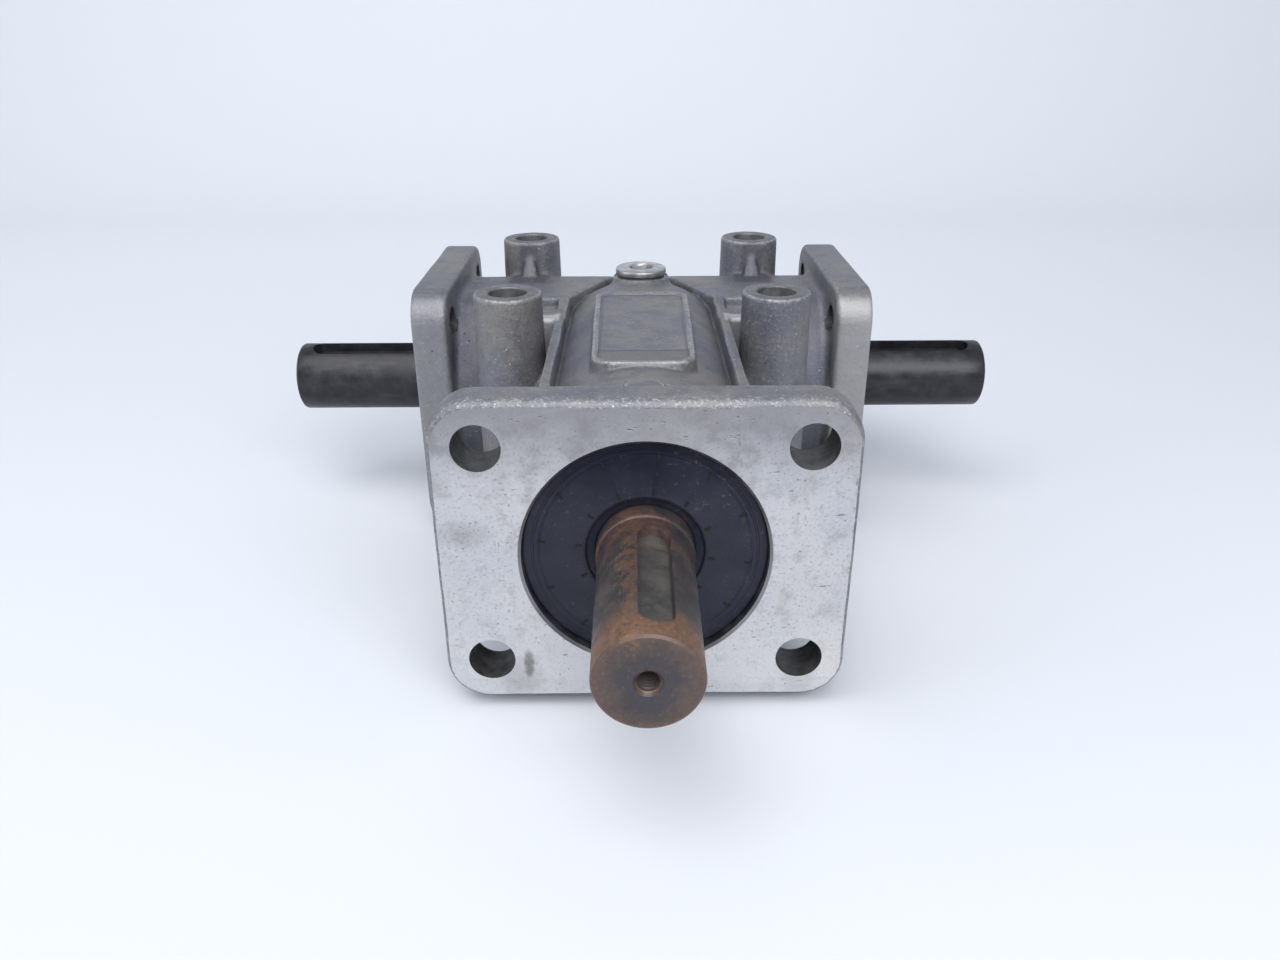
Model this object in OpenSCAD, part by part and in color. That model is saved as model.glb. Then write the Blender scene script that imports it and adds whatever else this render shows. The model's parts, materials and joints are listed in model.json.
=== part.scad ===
// Three-way right-angle bevel gearbox: one front input shaft and a through cross shaft, equal bevel gears.
// The frame's origin is the centre of the four foot bolts, on the plane the posts rest on. +Z is up, the
// front shaft leaves along -Y and the cross shaft lies along X. Each module is drawn about the point
// where the two shaft axes cross, and place() sets it in the frame. All sizes are in millimetres.

/* [Shafts] */
// Diameter of the free shaft ends
stub_d = 24; // [20:0.5:24.5]
// Length of the free front shaft end, from the flange face
stub_len = 50; // [46:1:60]
// Free length of the two side shaft ends, from the flange faces
side_stub_len = 50.5; // [46:0.5:60]
// Diameter of the shafts inside the bearings and seals
seat_d = 25; // [25:0.5:25]
// Width of the keyways in the free shaft ends
keyway_w = 8; // [6:1:8]
// Depth of the keyways in the free shaft ends
keyway_t = 4; // [3:0.5:4]
// Length of the front keyway over its round ends
front_keyway_len = 40; // [25:1:41]
// Length of the two side keyways over their round ends
side_keyway_len = 41; // [25:1:42]
// Gap from a shaft's end face to the start of its keyway
keyway_gap = 5; // [3:0.5:8]
// Turn of the front keyway about the shaft, from straight up
front_keyway_turn = 9.6; // [-20:0.2:20]
// Turn of the side keyways from straight up towards the front
side_keyway_turn = 10.4; // [-20:0.2:20]
// Core diameter of the M6 tapped hole in each shaft end
tap_d = 5; // [4:0.1:6]

/* [Front flange] */
// Distance from the shaft crossing to the front flange face
front_face = 137; // [136:0.5:140]
// Width of the front flange
front_w = 103.6; // [98:0.2:104]
// Height of the front flange
front_h = 83.6; // [82:0.2:84]
// Thickness of the front flange
front_t = 12; // [10:0.5:13]
// Hole spacing across the front flange
front_hole_x = 80; // [78:0.5:80]
// Hole spacing up the front flange
front_hole_z = 60; // [58:0.5:60]
// Diameter of the front flange bolt holes
front_hole_d = 12; // [9:0.5:12]
// Corner radius of the flanges
flange_r = 11; // [8:0.5:13]

/* [Side flanges] */
// Distance from the shaft crossing to each side flange face
side_face = 74.5; // [74:0.5:76]
// Side of the square side flanges
side_w = 82.2; // [81:0.2:86]
// Thickness of the side flanges
side_t = 11.5; // [10:0.5:12]
// Hole spacing of the side flanges, both ways
side_hole = 60; // [58:0.5:62]
// Diameter of the side flange bolt holes
side_hole_d = 8.5; // [8:0.5:11]

/* [Body] */
// Radius of the barrel round the cross shaft
barrel_r = 37.2; // [35:0.1:38]
// Radius of the neck round the front shaft
neck_r = 36.5; // [36:0.5:37]
// Height of the flat on the barrel above the shaft axes
flat_z = 33.2; // [31.8:0.1:34]
// Height of the foot posts above and below the shaft axes
post_z = 45; // [43:0.1:46]
// Diameter of the foot posts
post_d = 21; // [19:0.5:22]
// Diameter of the bolt holes in the ends of the posts
post_hole_d = 12; // [9:0.5:12]
// Depth of the blind holes in the rear posts, without the drill's cone
post_hole_depth = 22; // [15:1:23]
// Distance of the posts from the front shaft's plane
post_x = 41.25; // [41:0.05:42]
// Distance of the front posts in front of the cross shaft
post_front = 52.2; // [51:0.2:53]
// Distance of the rear posts behind the cross shaft
post_rear = 27.8; // [27:0.2:29]
// Inner face of the two long ribs, from the front shaft's plane
rib_x = 25.2; // [24:0.1:26]
// Thickness of the long ribs
rib_t = 3; // [2.5:0.1:3.5]
// Length of the raised nameplate panel
panel_len = 73.5; // [60:0.5:74]
// Width of the raised nameplate panel
panel_w = 30; // [26:1:31]

/* [Bearings and seals] */
// Bore of the front neck, which takes the front bearings and seal
front_bore_d = 62; // [62:1:62]
// Bore of the two side openings, which take the side bearings and seals
side_bore_d = 52; // [52:1:52]
// Depth of the seals' faces below the flange faces
seal_recess = 3.3; // [2.5:0.1:4]
// Width of the shaft seals
seal_w = 10; // [8:0.5:10]

/* [Bevel gears] */
// Teeth on each of the two equal bevel gears
teeth = 17; // [17:1:17]
// Module at the outer end of the teeth
module_mm = 3; // [2.9:0.05:3]
// Pressure angle of the teeth
pressure = 20; // [20:0.5:22]
// Tooth width along the pitch cone
face_w = 9.5; // [7:0.5:10]
// Tooth thinning at the pitch circle of each gear, for backlash
thinning = 0.1; // [0.08:0.01:0.2]

/* [Hidden] */
$fn = 96;

slip = 0.01;         // gap that keeps fitted surfaces apart
ring_slack = 0.05;   // gap on each side of a retaining ring in the bore or by the front bearing
over = 1;            // how far a cut runs past a face

stub_r = stub_d / 2;
seat_r = seat_d / 2;
front_bore_r = front_bore_d / 2;
side_bore_r = side_bore_d / 2;

// stations along each shaft, as distances outward from the crossing
bore_ring_t = 2;
neck_brg_w = 17;
side_brg_w = 15;
front_seal_gap = 0.5;   // from the seal to the bore ring
side_seal_gap = 0.3;
front_brg_y = front_face - seal_recess - seal_w - front_seal_gap - bore_ring_t;   // outer side
rear_brg_y = 62;                                                                  // outer side
rear_stop_y = rear_brg_y - neck_brg_w;   // shoulder the rear bearing sits on
side_brg_x = side_face - seal_recess - seal_w - side_seal_gap - bore_ring_t;      // outer side
side_stop_x = side_brg_x - side_brg_w;
gear_front = 21.2;   // front face of a gear, towards the crossing
gear_back = 37;      // back face of a gear's hub

cast_metal = [0.45, 0.45, 0.46];
bright_metal = [0.72, 0.72, 0.73];
steel = [0.62, 0.63, 0.65];
rusted = [0.38, 0.29, 0.23];
dark_metal = [0.20, 0.20, 0.21];
rubber = [0.12, 0.13, 0.17];
brass = [0.75, 0.60, 0.35];

// ---------- helpers ----------
// moves a piece drawn about the shaft crossing into the frame
module place() { translate([0, (post_front - post_rear) / 2, post_z]) children(); }

// a shape drawn along +Z is laid along an axis, its z = 0 at a distance from the crossing
module along_front(from = 0) { rotate([90, 0, 0]) translate([0, 0, from]) children(); }
module along_right(from = 0) { rotate([0, 90, 0]) translate([0, 0, from]) children(); }
module along_left(from = 0) { rotate([0, -90, 0]) translate([0, 0, from]) children(); }

// a shape and its mirror image across x = 0, or across z = 0
module copy_x() { for (i = [0, 1]) mirror([i, 0, 0]) children(); }
module copy_z() { for (i = [0, 1]) mirror([0, 0, i]) children(); }

// cylinder along +Z between two heights
module rod(radius, from, to) { translate([0, 0, from]) cylinder(r = radius, h = to - from); }

// tube along +Z between two heights
module tube(outer_r, inner_r, from, to) {
  rotate_extrude() translate([inner_r, from]) square([outer_r - inner_r, to - from]);
}

corner_steps = 8;
// points of a centred rectangle with rounded corners
function round_rect(width, height, radius) = [
  for (corner = [0:3]) for (i = [0:corner_steps])
    let (
      centre_x = (corner == 0 || corner == 3 ? 1 : -1) * (width / 2 - radius),
      centre_y = (corner < 2 ? 1 : -1) * (height / 2 - radius),
      angle = 90 * corner + 90 * i / corner_steps
    )
    [centre_x + radius * cos(angle), centre_y + radius * sin(angle)]
];

module round_plate(width, height, radius, thick) {
  linear_extrude(height = thick) polygon(round_rect(width, height, radius));
}

// bar with round ends, lying along +Z on the +X side of a shaft: a key, or the cut for one
module key_bar(bottom_r, from, to, width, height) {
  straight = to - from - width;
  translate([bottom_r, 0, (from + to) / 2]) rotate([0, 90, 0]) {
    translate([-straight / 2, -width / 2, 0]) cube([straight, width, height]);
    for (end = [-1, 1]) translate([end * straight / 2, 0, 0]) cylinder(d = width, h = height);
  }
}

// ---------- housing ----------
chamber_r = 28.5;        // cast hollow the gears turn in
neck_core_r = 31.5;      // wider part of that hollow, inside the neck
neck_core_start = 12;
rear_shoulder_t = 5;     // shoulder behind the rear bearing
side_shoulder_t = 2;     // shoulders behind the side bearings
side_shoulder_r = 23.5;
ring_groove_depth = 1.5;
neck_back = 2;           // back end of the neck, behind the crossing
rib_end = 13;            // back end of the long ribs, in front of the crossing

web_z = 32.3;            // half height of the cross webs
web_front = 37.2;        // their front face, in front of the crossing
web_t = 11;
valley_len = 11;
valley_r = 34;           // round floor of the valley, about the cross shaft
tie_plate = [6, 24, 44]; // upright plate from each front post to its web
shelf_len = 26;          // level plate between the long rib and the front post
shelf_t = 10;

gusset_t = 3;
gusset_sink = 1.5;       // its depth inside the post
// [distance from the gusset's back edge, height]
gusset_profile = [
  [0, flat_z - 3], [0, flat_z + 8], [-1.5, flat_z + 7], [-8, flat_z - 0.5], [-8, flat_z - 3]
];

boss_r = 10.5;
boss_z = 36.9;           // top of the plug bosses, from the shaft axes
boss_foot_z = 26;
plug_hole_r = 7;
plug_hole_foot_z = 24;

panel_back = 24.4;       // back edge of the panel, in front of the crossing
panel_foot_z = 30;
panel_top_z = 37.9;
panel_floor_z = 37.2;
panel_rim = 2.2;

module barrel_block() {
  intersection() {
    along_right() cylinder(r = barrel_r, h = 2 * (side_face - side_t) + 2, center = true);
    cube([200, 200, 2 * flat_z], center = true);
  }
}

module flanges() {
  along_front(front_face - front_t) round_plate(front_w, front_h, flange_r, front_t);
  copy_x() along_right(side_face - side_t) round_plate(side_w, side_w, flange_r, side_t);
}

module foot_post(y) {
  translate([post_x, y, -post_z]) cylinder(d = post_d, h = 2 * post_z);
}

module long_rib() {
  front = front_face - front_t + over;
  translate([rib_x, -front, -flat_z]) cube([rib_t, front - rib_end, 2 * flat_z]);
}

// cross web in front of the barrel, from the rib to the front post, and the plates that tie them
module post_webs() {
  span = post_x - rib_x;
  translate([rib_x, -web_front, -web_z]) cube([span, web_t, 2 * web_z]);
  translate([post_x - tie_plate[0] / 2, -post_front, -tie_plate[2] / 2]) cube(tie_plate);
  translate([rib_x, -post_front, -shelf_t / 2]) cube([span, shelf_len, shelf_t]);
}

// small pointed gusset in front of a rear post
module rear_gusset() {
  translate([post_x - gusset_t / 2, post_rear - post_d / 2 + gusset_sink, 0])
    rotate([90, 0, 90]) linear_extrude(height = gusset_t) polygon(gusset_profile);
}

module panel_block(inset, radius, from, thick) {
  translate([0, -panel_back - panel_len / 2, from])
    round_plate(panel_w - 2 * inset, panel_len - 2 * inset, radius, thick);
}

module housing_cast() {
  barrel_block();
  along_front(-neck_back) cylinder(r = neck_r, h = front_face - front_t + neck_back + over);
  flanges();
  copy_x() {
    foot_post(-post_front);
    foot_post(post_rear);
    long_rib();
    post_webs();
    rear_gusset();
  }
  copy_z() rod(boss_r, boss_foot_z, boss_z);
  panel_block(inset = 0, radius = 6, from = panel_foot_z, thick = panel_top_z - panel_foot_z);
}

// bore down to its bearing shoulder, its chamfered mouth and the ring groove outside the bearing
module bearing_bore(bore_r, shoulder, bearing_face, face) {
  rod(bore_r, shoulder, face + over);
  translate([0, 0, face - 0.5]) cylinder(r1 = bore_r, r2 = bore_r + 1, h = 1);
  rod(bore_r + ring_groove_depth, bearing_face - ring_slack, bearing_face + bore_ring_t + ring_slack);
}

module flange_holes(spacing_x, spacing_y, hole_d, face, thick) {
  for (i = [-1, 1]) for (j = [-1, 1])
    translate([i * spacing_x / 2, j * spacing_y / 2, face - thick - over])
      cylinder(d = hole_d, h = thick + 2 * over);
}

module front_cuts() {
  along_front() {
    bearing_bore(front_bore_r, rear_stop_y, front_brg_y, front_face);
    rod(chamber_r, 0, rear_stop_y + over);
    rod(neck_core_r, neck_core_start, rear_stop_y - rear_shoulder_t);
    flange_holes(front_hole_x, front_hole_z, front_hole_d, front_face, front_t);
  }
}

module side_cuts() {
  chamber_end = side_stop_x - side_shoulder_t;
  along_right() {
    rod(chamber_r, -chamber_end, chamber_end);
    rod(side_shoulder_r, -side_face, side_face);
  }
  copy_x() along_right() {
    bearing_bore(side_bore_r, side_stop_x, side_brg_x, side_face);
    flange_holes(side_hole, side_hole, side_hole_d, side_face, side_t);
  }
}

// valley between a cross web and the flat of the barrel
module web_valley() {
  start = rib_x + rib_t;
  difference() {
    translate([start, web_t - web_front, -40]) cube([post_x - start, valley_len, 80]);
    along_right() cylinder(r = valley_r, h = 200, center = true);
  }
}

// upward from z = 0, with the cone of the drill at its end
module blind_hole(hole_d, depth) {
  cone_h = hole_d * 0.29;
  rotate_extrude() polygon([[0, -over], [hole_d / 2, -over], [hole_d / 2, depth], [0, depth + cone_h]]);
}

// right through the front posts, and blind from both ends of the rear ones, which stand against
// the side bearings
module post_holes() {
  translate([post_x, -post_front, -post_z - over]) cylinder(d = post_hole_d, h = 2 * (post_z + over));
  copy_z() translate([post_x, post_rear, -post_z]) blind_hole(post_hole_d, post_hole_depth);
}

module housing() {
  color(cast_metal) difference() {
    housing_cast();
    front_cuts();
    side_cuts();
    copy_x() {
      web_valley();
      post_holes();
    }
    copy_z() rod(plug_hole_r, plug_hole_foot_z, boss_z + over);
    panel_block(inset = panel_rim, radius = 4, from = panel_floor_z, thick = 2);
  }
}

// ---------- plugs, drawn on the top boss ----------
plug_head_r = 9;
plug_head_z = 1.1;      // underside of the head, above the boss
plug_head_top = 3.5;
plug_chamfer = 0.6;
plug_thread_r = 6.95;
plug_thread_len = 7.9;
socket_d = 9.24;        // across the corners of the hexagon socket
socket_floor = -1.3;

module plug_body() {
  translate([0, 0, boss_z]) difference() {
    union() {
      rotate_extrude() polygon([
        [0, plug_head_z], [plug_head_r, plug_head_z], [plug_head_r, plug_head_top - plug_chamfer],
        [plug_head_r - plug_chamfer, plug_head_top], [0, plug_head_top]
      ]);
      rod(plug_thread_r, -plug_thread_len, 1.5);
    }
    translate([0, 0, socket_floor]) cylinder(d = socket_d, h = 6, $fn = 6);
  }
}
module plug_washer() { tube(8.3, 7.05, boss_z, boss_z + plug_head_z - slip); }

module filler_plug() { color(bright_metal) plug_body(); }
module filler_washer() { color(steel) plug_washer(); }
module drain_plug() { color(bright_metal) mirror([0, 0, 1]) plug_body(); }
module drain_washer() { color(steel) mirror([0, 0, 1]) plug_washer(); }

// ---------- seals: outer face at z = 0, body and open side below it ----------
lip_gap = 0.05;        // from the lips to the shaft
seal_rib_pairs = 12;

// [radius, height]: the rim, the hollow under the face, the main lip, then the outer lip
function seal_profile(outer_r) = [
  [outer_r - 0.6, 0], [outer_r - slip, -0.8], [outer_r - slip, -seal_w + 0.8],
  [outer_r - 0.8, -seal_w], [outer_r - 2.6, -seal_w], [outer_r - 2.6, -2],
  [17.6, -2], [16.2, -3], [16.0, -6.2], [16.9, -8.4], [14.4, -8.6], [13.0, -7.2],
  [seat_r + lip_gap, -6.0], [13.6, -4.4], [13.6, -2.6], [seat_r + lip_gap, -1.6],
  [13.4, -0.9], [15.1, -0.9], [15.1, 0]
];

// short radial rib on the seal's face
module seal_rib(turn, inner_r, length) {
  rotate([0, 0, turn]) translate([inner_r, -0.3, -0.4]) cube([length, 0.6, 0.65]);
}

module seal_body(outer_r) {
  pitch = 360 / seal_rib_pairs;
  difference() {
    rotate_extrude() polygon(seal_profile(outer_r));
    // shallow ring groove in the face
    tube(outer_r - 3.4, outer_r - 3.9, -0.25, 1);
  }
  for (i = [0:seal_rib_pairs - 1]) {
    seal_rib(turn = pitch * (i + 0.5), inner_r = outer_r - 6.4, length = 2.6);
    seal_rib(turn = pitch * i, inner_r = 16.2, length = 2);
  }
}

// garter spring in the groove behind the seal's main lip
module seal_spring_ring() {
  translate([0, 0, -7.3]) rotate_extrude() translate([17.35, 0]) circle(r = 0.75, $fn = 24);
}

front_seal_y = front_face - seal_recess;
side_seal_x = side_face - seal_recess;

module input_seal() { color(rubber) along_front(front_seal_y) seal_body(front_bore_r); }
module right_seal() { color(rubber) along_right(side_seal_x) seal_body(side_bore_r); }
module left_seal() { color(rubber) along_left(side_seal_x) seal_body(side_bore_r); }
module input_seal_spring() { color(steel) along_front(front_seal_y) seal_spring_ring(); }
module right_seal_spring() { color(steel) along_right(side_seal_x) seal_spring_ring(); }
module left_seal_spring() { color(steel) along_left(side_seal_x) seal_spring_ring(); }

// ---------- retaining rings, from z = 0 to their thickness ----------
lug_turn = 9;            // of each lug, from the middle of the ring's gap
lug_inset = 4.6;         // of the lug centres, from the bore
shaft_ring_t = 1.2;
groove_r = 11.95;        // bottom of the shaft ring grooves
gear_ring_r = 14.4;
brg_ring_r = 15;
gear_ring_at = gear_front - shaft_ring_t;
input_ring_at = front_brg_y + ring_slack;

module at_lugs(bore_r, height) {
  for (side = [-1, 1])
    rotate([0, 0, lug_turn * side]) translate([0, bore_r - lug_inset, height]) children();
}

// ring that sits in a bore groove, with two drilled lugs
module bore_ring(bore_r) {
  difference() {
    union() {
      tube(bore_r + 1.45, bore_r - 3.2, ring_slack, bore_ring_t - ring_slack);
      at_lugs(bore_r, ring_slack) cylinder(r = 2.4, h = bore_ring_t - 2 * ring_slack);
    }
    translate([-2, bore_r - 9, -over]) cube([4, 14, 4]);
    at_lugs(bore_r, -over) cylinder(r = 1.1, h = 4);
  }
}

// plain split ring that sits in a shaft groove
module shaft_ring(outer_r) {
  difference() {
    tube(outer_r, groove_r + 0.02, 0.02, shaft_ring_t - 0.02);
    translate([-1.8, 8, -over]) cube([3.6, 10, 4]);
  }
}

module input_bore_ring() { color(steel) along_front(front_brg_y) bore_ring(front_bore_r); }
module right_bore_ring() { color(steel) along_right(side_brg_x) bore_ring(side_bore_r); }
module left_bore_ring() { color(steel) along_left(side_brg_x) bore_ring(side_bore_r); }
module pinion_snap_ring() { color(steel) along_front(gear_ring_at) shaft_ring(gear_ring_r); }
module gear_snap_ring() { color(steel) along_right(gear_ring_at) shaft_ring(gear_ring_r); }
module input_shaft_ring() { color(steel) along_front(input_ring_at) shaft_ring(brg_ring_r); }
module left_shaft_ring() {
  color(steel) along_left(side_stop_x - shaft_ring_t) shaft_ring(brg_ring_r);
}

// ---------- deep-groove ball bearings, from z = 0 to their width ----------
// [outer radius, width, ball circle radius, ball radius, balls, outer and inner shoulder radius]
neck_brg = [front_bore_r, neck_brg_w, 22.2, 5.75, 7, 26.2, 18.3];
side_brg = [side_bore_r, side_brg_w, 19.5, 3.97, 9, 22.3, 16.9];
function outer_radius(brg) = brg[0];
function width(brg) = brg[1];
function circle_radius(brg) = brg[2];
function ball_radius(brg) = brg[3];
function ball_count(brg) = brg[4];
function outer_shoulder(brg) = brg[5];
function inner_shoulder(brg) = brg[6];

brg_chamfer = 1;
shoulder_chamfer = 0.3;
brg_end_gap = 0.02;
race_gap = 0.06;       // from the balls to the races
window_gap = 0.08;     // from the balls to the cage
cage_half_t = 0.9;
cage_edge = 1.1;       // cage beyond the balls at each end

// ring between the fitted radius and the shoulder radius, without the ball race's cut;
// outward is 1 for a ring fitted on its outside and -1 for one fitted on its inside
module race_ring(brg, fit_r, shoulder_r, outward) {
  top = width(brg);
  fit = fit_r - outward * slip;
  fit_edge = fit_r - outward * brg_chamfer;
  shoulder_edge = shoulder_r + outward * shoulder_chamfer;
  difference() {
    rotate_extrude() polygon([
      [shoulder_r, shoulder_chamfer], [shoulder_edge, brg_end_gap], [fit_edge, brg_end_gap],
      [fit, brg_chamfer], [fit, top - brg_chamfer], [fit_edge, top - brg_end_gap],
      [shoulder_edge, top - brg_end_gap], [shoulder_r, top - shoulder_chamfer]
    ]);
    translate([0, 0, top / 2]) rotate_extrude() translate([circle_radius(brg), 0])
      circle(r = ball_radius(brg) + race_gap, $fn = 48);
  }
}
module outer_ring(brg) { race_ring(brg, outer_radius(brg), outer_shoulder(brg), 1); }
module inner_ring(brg) { race_ring(brg, seat_r, inner_shoulder(brg), -1); }

// children set round the bearing's middle plane, once for each ball
module at_balls(brg, radius) {
  for (i = [0:ball_count(brg) - 1])
    rotate([0, 0, 360 * i / ball_count(brg)]) translate([radius, 0, width(brg) / 2]) children();
}

module balls(brg) { at_balls(brg, circle_radius(brg)) sphere(r = ball_radius(brg), $fn = 48); }

// thin tube with a round window for each ball
module cage(brg) {
  radius = circle_radius(brg);
  middle = width(brg) / 2;
  half_w = ball_radius(brg) + cage_edge;
  difference() {
    tube(radius + cage_half_t, radius - cage_half_t, middle - half_w, middle + half_w);
    at_balls(brg, radius - 4) rotate([0, 90, 0]) cylinder(r = ball_radius(brg) + window_gap, h = 8);
  }
}

module at_front_brg() { along_front(front_brg_y - neck_brg_w) children(); }
module at_rear_brg() { along_front(rear_stop_y) children(); }
module at_left_brg() { along_left(side_stop_x) children(); }
module at_right_brg() { along_right(side_stop_x) children(); }

module front_bearing_outer() { color(steel) at_front_brg() outer_ring(neck_brg); }
module front_bearing_inner() { color(steel) at_front_brg() inner_ring(neck_brg); }
module front_bearing_balls() { color(bright_metal) at_front_brg() balls(neck_brg); }
module front_bearing_cage() { color(brass) at_front_brg() cage(neck_brg); }
module rear_bearing_outer() { color(steel) at_rear_brg() outer_ring(neck_brg); }
module rear_bearing_inner() { color(steel) at_rear_brg() inner_ring(neck_brg); }
module rear_bearing_balls() { color(bright_metal) at_rear_brg() balls(neck_brg); }
module rear_bearing_cage() { color(brass) at_rear_brg() cage(neck_brg); }
module left_bearing_outer() { color(steel) at_left_brg() outer_ring(side_brg); }
module left_bearing_inner() { color(steel) at_left_brg() inner_ring(side_brg); }
module left_bearing_balls() { color(bright_metal) at_left_brg() balls(side_brg); }
module left_bearing_cage() { color(brass) at_left_brg() cage(side_brg); }
module right_bearing_outer() { color(steel) at_right_brg() outer_ring(side_brg); }
module right_bearing_inner() { color(steel) at_right_brg() inner_ring(side_brg); }
module right_bearing_balls() { color(bright_metal) at_right_brg() balls(side_brg); }
module right_bearing_cage() { color(brass) at_right_brg() cage(side_brg); }

// ---------- bevel gears: geometry on spheres round the crossing ----------
pitch_cone = 45;
cone_dist = module_mm * teeth / (2 * sin(pitch_cone));
cone_in = cone_dist - face_w;
base_cone = asin(sin(pitch_cone) * cos(pressure));
tip_cone = pitch_cone + atan(module_mm / cone_dist);
root_cone = pitch_cone - atan(1.25 * module_mm / cone_dist);
top_cone = tip_cone + 2.5;   // where the cut for a gap ends, outside the teeth
flank_steps = 8;
rim_r = 20;                  // inner edge of the outer end cone
hub_r = 17;
hub_chamfer = 0.8;

// involute on a sphere: turn of the flank at a cone angle, from its start on the base cone
function flank_turn(cone) = cone <= base_cone ? 0 :
  let (arc = acos(cos(cone) / cos(base_cone)))
  arc / sin(base_cone) - atan2(sin(arc), cos(arc) * sin(base_cone));

// half the gap between two teeth at a cone angle, as a turn about the gear's axis
function half_gap(cone) = 90 / teeth + (thinning / (module_mm * teeth)) * 180 / PI
  + flank_turn(cone) - flank_turn(pitch_cone);

// half of the gap's outline as [turn, cone angle], down one flank to the root
base_gap = half_gap(base_cone);
gap_side = concat(
  [for (i = [flank_steps:-1:0])
    let (cone = base_cone + (top_cone - base_cone) * i / flank_steps) [half_gap(cone), cone]],
  [[base_gap, root_cone + 0.9], [base_gap - 0.5, root_cone + 0.25], [base_gap - 1.4, root_cone]]
);
gap_outline = concat(
  gap_side,
  [for (i = [len(gap_side) - 1:-1:0]) [-gap_side[i][0], gap_side[i][1]]]
);

// point at [turn, cone angle], on the end cone that crosses the pitch cone at a distance
function on_cone(place, distance) =
  let (turn = place[0], cone = place[1], reach = distance / cos(cone - pitch_cone))
  [reach * sin(cone) * cos(turn), reach * sin(cone) * sin(turn), reach * cos(cone)];

module tooth_gap() {
  count = len(gap_outline);
  polyhedron(
    points = concat(
      [for (place = gap_outline) on_cone(place, cone_in - 2)],
      [for (place = gap_outline) on_cone(place, cone_dist + 2.5)]),
    faces = concat(
      [[for (i = [0:count - 1]) i]],
      [[for (i = [count - 1:-1:0]) count + i]],
      [for (i = [0:count - 1]) [i, count + i, count + (i + 1) % count, (i + 1) % count]]),
    convexity = 4);
}

// blank with its axis on +Z and the crossing at the origin
module gear_blank() {
  tip_out = on_cone([0, tip_cone], cone_dist);
  tip_in = on_cone([0, tip_cone], cone_in);
  // radius plus height, the same all over an end cone
  sum_in = cone_in * sqrt(2);
  sum_out = cone_dist * sqrt(2);
  rotate_extrude() polygon([
    [seat_r + slip, gear_front], [sum_in - gear_front, gear_front],
    [tip_in[0], tip_in[2]], [tip_out[0], tip_out[2]],
    [rim_r, sum_out - rim_r], [hub_r, sum_out - 19.2],
    [hub_r, gear_back - hub_chamfer], [hub_r - hub_chamfer, gear_back], [seat_r + slip, gear_back]
  ]);
}

// ---------- gear keys, low pattern 8 x 5, on top of the shafts ----------
key_w = 8;
key_from = 22.2;
key_to = 36.2;
pocket_bottom_r = 9.4;
pocket_gap = 0.1;     // at each end of a key

module shaft_key() {
  key_bar(pocket_bottom_r + 0.02, key_from, key_to, width = key_w - 0.04, height = 4.96);
}
module key_pocket() {
  key_bar(pocket_bottom_r, key_from - pocket_gap, key_to + pocket_gap, width = key_w, height = 9);
}
module hub_keyway() {
  translate([8, -key_w / 2, gear_front - 2]) cube([6.55, key_w, gear_back - gear_front + 4]);
}

// turns about +Z of the first tooth gap and of the keyway
module bevel_gear(first_gap, key_turn) {
  difference() {
    gear_blank();
    for (i = [0:teeth - 1]) rotate([0, 0, first_gap + 360 * i / teeth]) tooth_gap();
    rotate([0, 0, key_turn]) hub_keyway();
  }
}

// turn that brings the +X side of a laid piece straight up
front_up = 90;
right_up = 180;

module input_pinion() { color(steel) along_front() bevel_gear(180 / teeth, front_up); }
module cross_gear() { color(steel) along_right() bevel_gear(270, right_up); }
module pinion_key() { color(steel) along_front() rotate([0, 0, front_up]) shaft_key(); }
module gear_key() { color(steel) along_right() rotate([0, 0, right_up]) shaft_key(); }

// ---------- shafts ----------
input_start = 17;      // inner end of the front shaft
input_chamfer = 1.2;   // on that end
stub_chamfer = 1;
tap_depth = 16;
tap_chamfer = 0.8;

// free end as [radius, distance], from the seal seat to the middle of the end face
function free_end(face, tip) = [
  [seat_r, face + 0.2], [stub_r, face + 0.7],
  [stub_r, tip - stub_chamfer], [stub_r - stub_chamfer, tip], [0, tip]
];

// tapped hole and its countersink, below a shaft's end face
module tapped_hole(tip) {
  translate([0, 0, tip - tap_depth]) cylinder(d = tap_d, h = tap_depth + over);
  translate([0, 0, tip - tap_chamfer])
    cylinder(r1 = tap_d / 2, r2 = tap_d / 2 + 2 * tap_chamfer, h = 2 * tap_chamfer);
}

module open_keyway(tip, length) {
  end = tip - keyway_gap;
  key_bar(stub_r - keyway_t, end - length, end, width = keyway_w, height = keyway_t + 5);
}

module ring_groove(from) { tube(20, groove_r, from, from + shaft_ring_t); }

module input_shaft() {
  tip = front_face + stub_len;
  inner_end = [
    [0, input_start], [seat_r - input_chamfer, input_start], [seat_r, input_start + input_chamfer]
  ];
  color(rusted) along_front() difference() {
    rotate_extrude() polygon(concat(inner_end, free_end(front_face, tip)));
    tapped_hole(tip);
    rotate([0, 0, front_up - front_keyway_turn]) open_keyway(tip, front_keyway_len);
    rotate([0, 0, front_up]) key_pocket();
    ring_groove(gear_ring_at);
    ring_groove(input_ring_at);
  }
}

module cross_shaft() {
  tip = side_face + side_stub_len;
  right_end = free_end(side_face, tip);
  left_end = [for (i = [len(right_end) - 1:-1:0]) [right_end[i][0], -right_end[i][1]]];
  color(dark_metal) along_right() difference() {
    // the turn sets where the facets of the round body start
    rotate([0, 0, 112.5 + side_keyway_turn]) rotate_extrude() polygon(concat(left_end, right_end));
    copy_z() {
      tapped_hole(tip);
      rotate([0, 0, right_up + side_keyway_turn]) open_keyway(tip, side_keyway_len);
    }
    rotate([0, 0, right_up]) key_pocket();
    ring_groove(gear_ring_at);
    ring_groove(-side_stop_x);
  }
}

// ---------- sleeves and shims on the shafts ----------
shim_t = 0.5;

module sleeve(outer_r, from, to) { tube(outer_r, seat_r + slip, from + slip, to - slip); }
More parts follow.
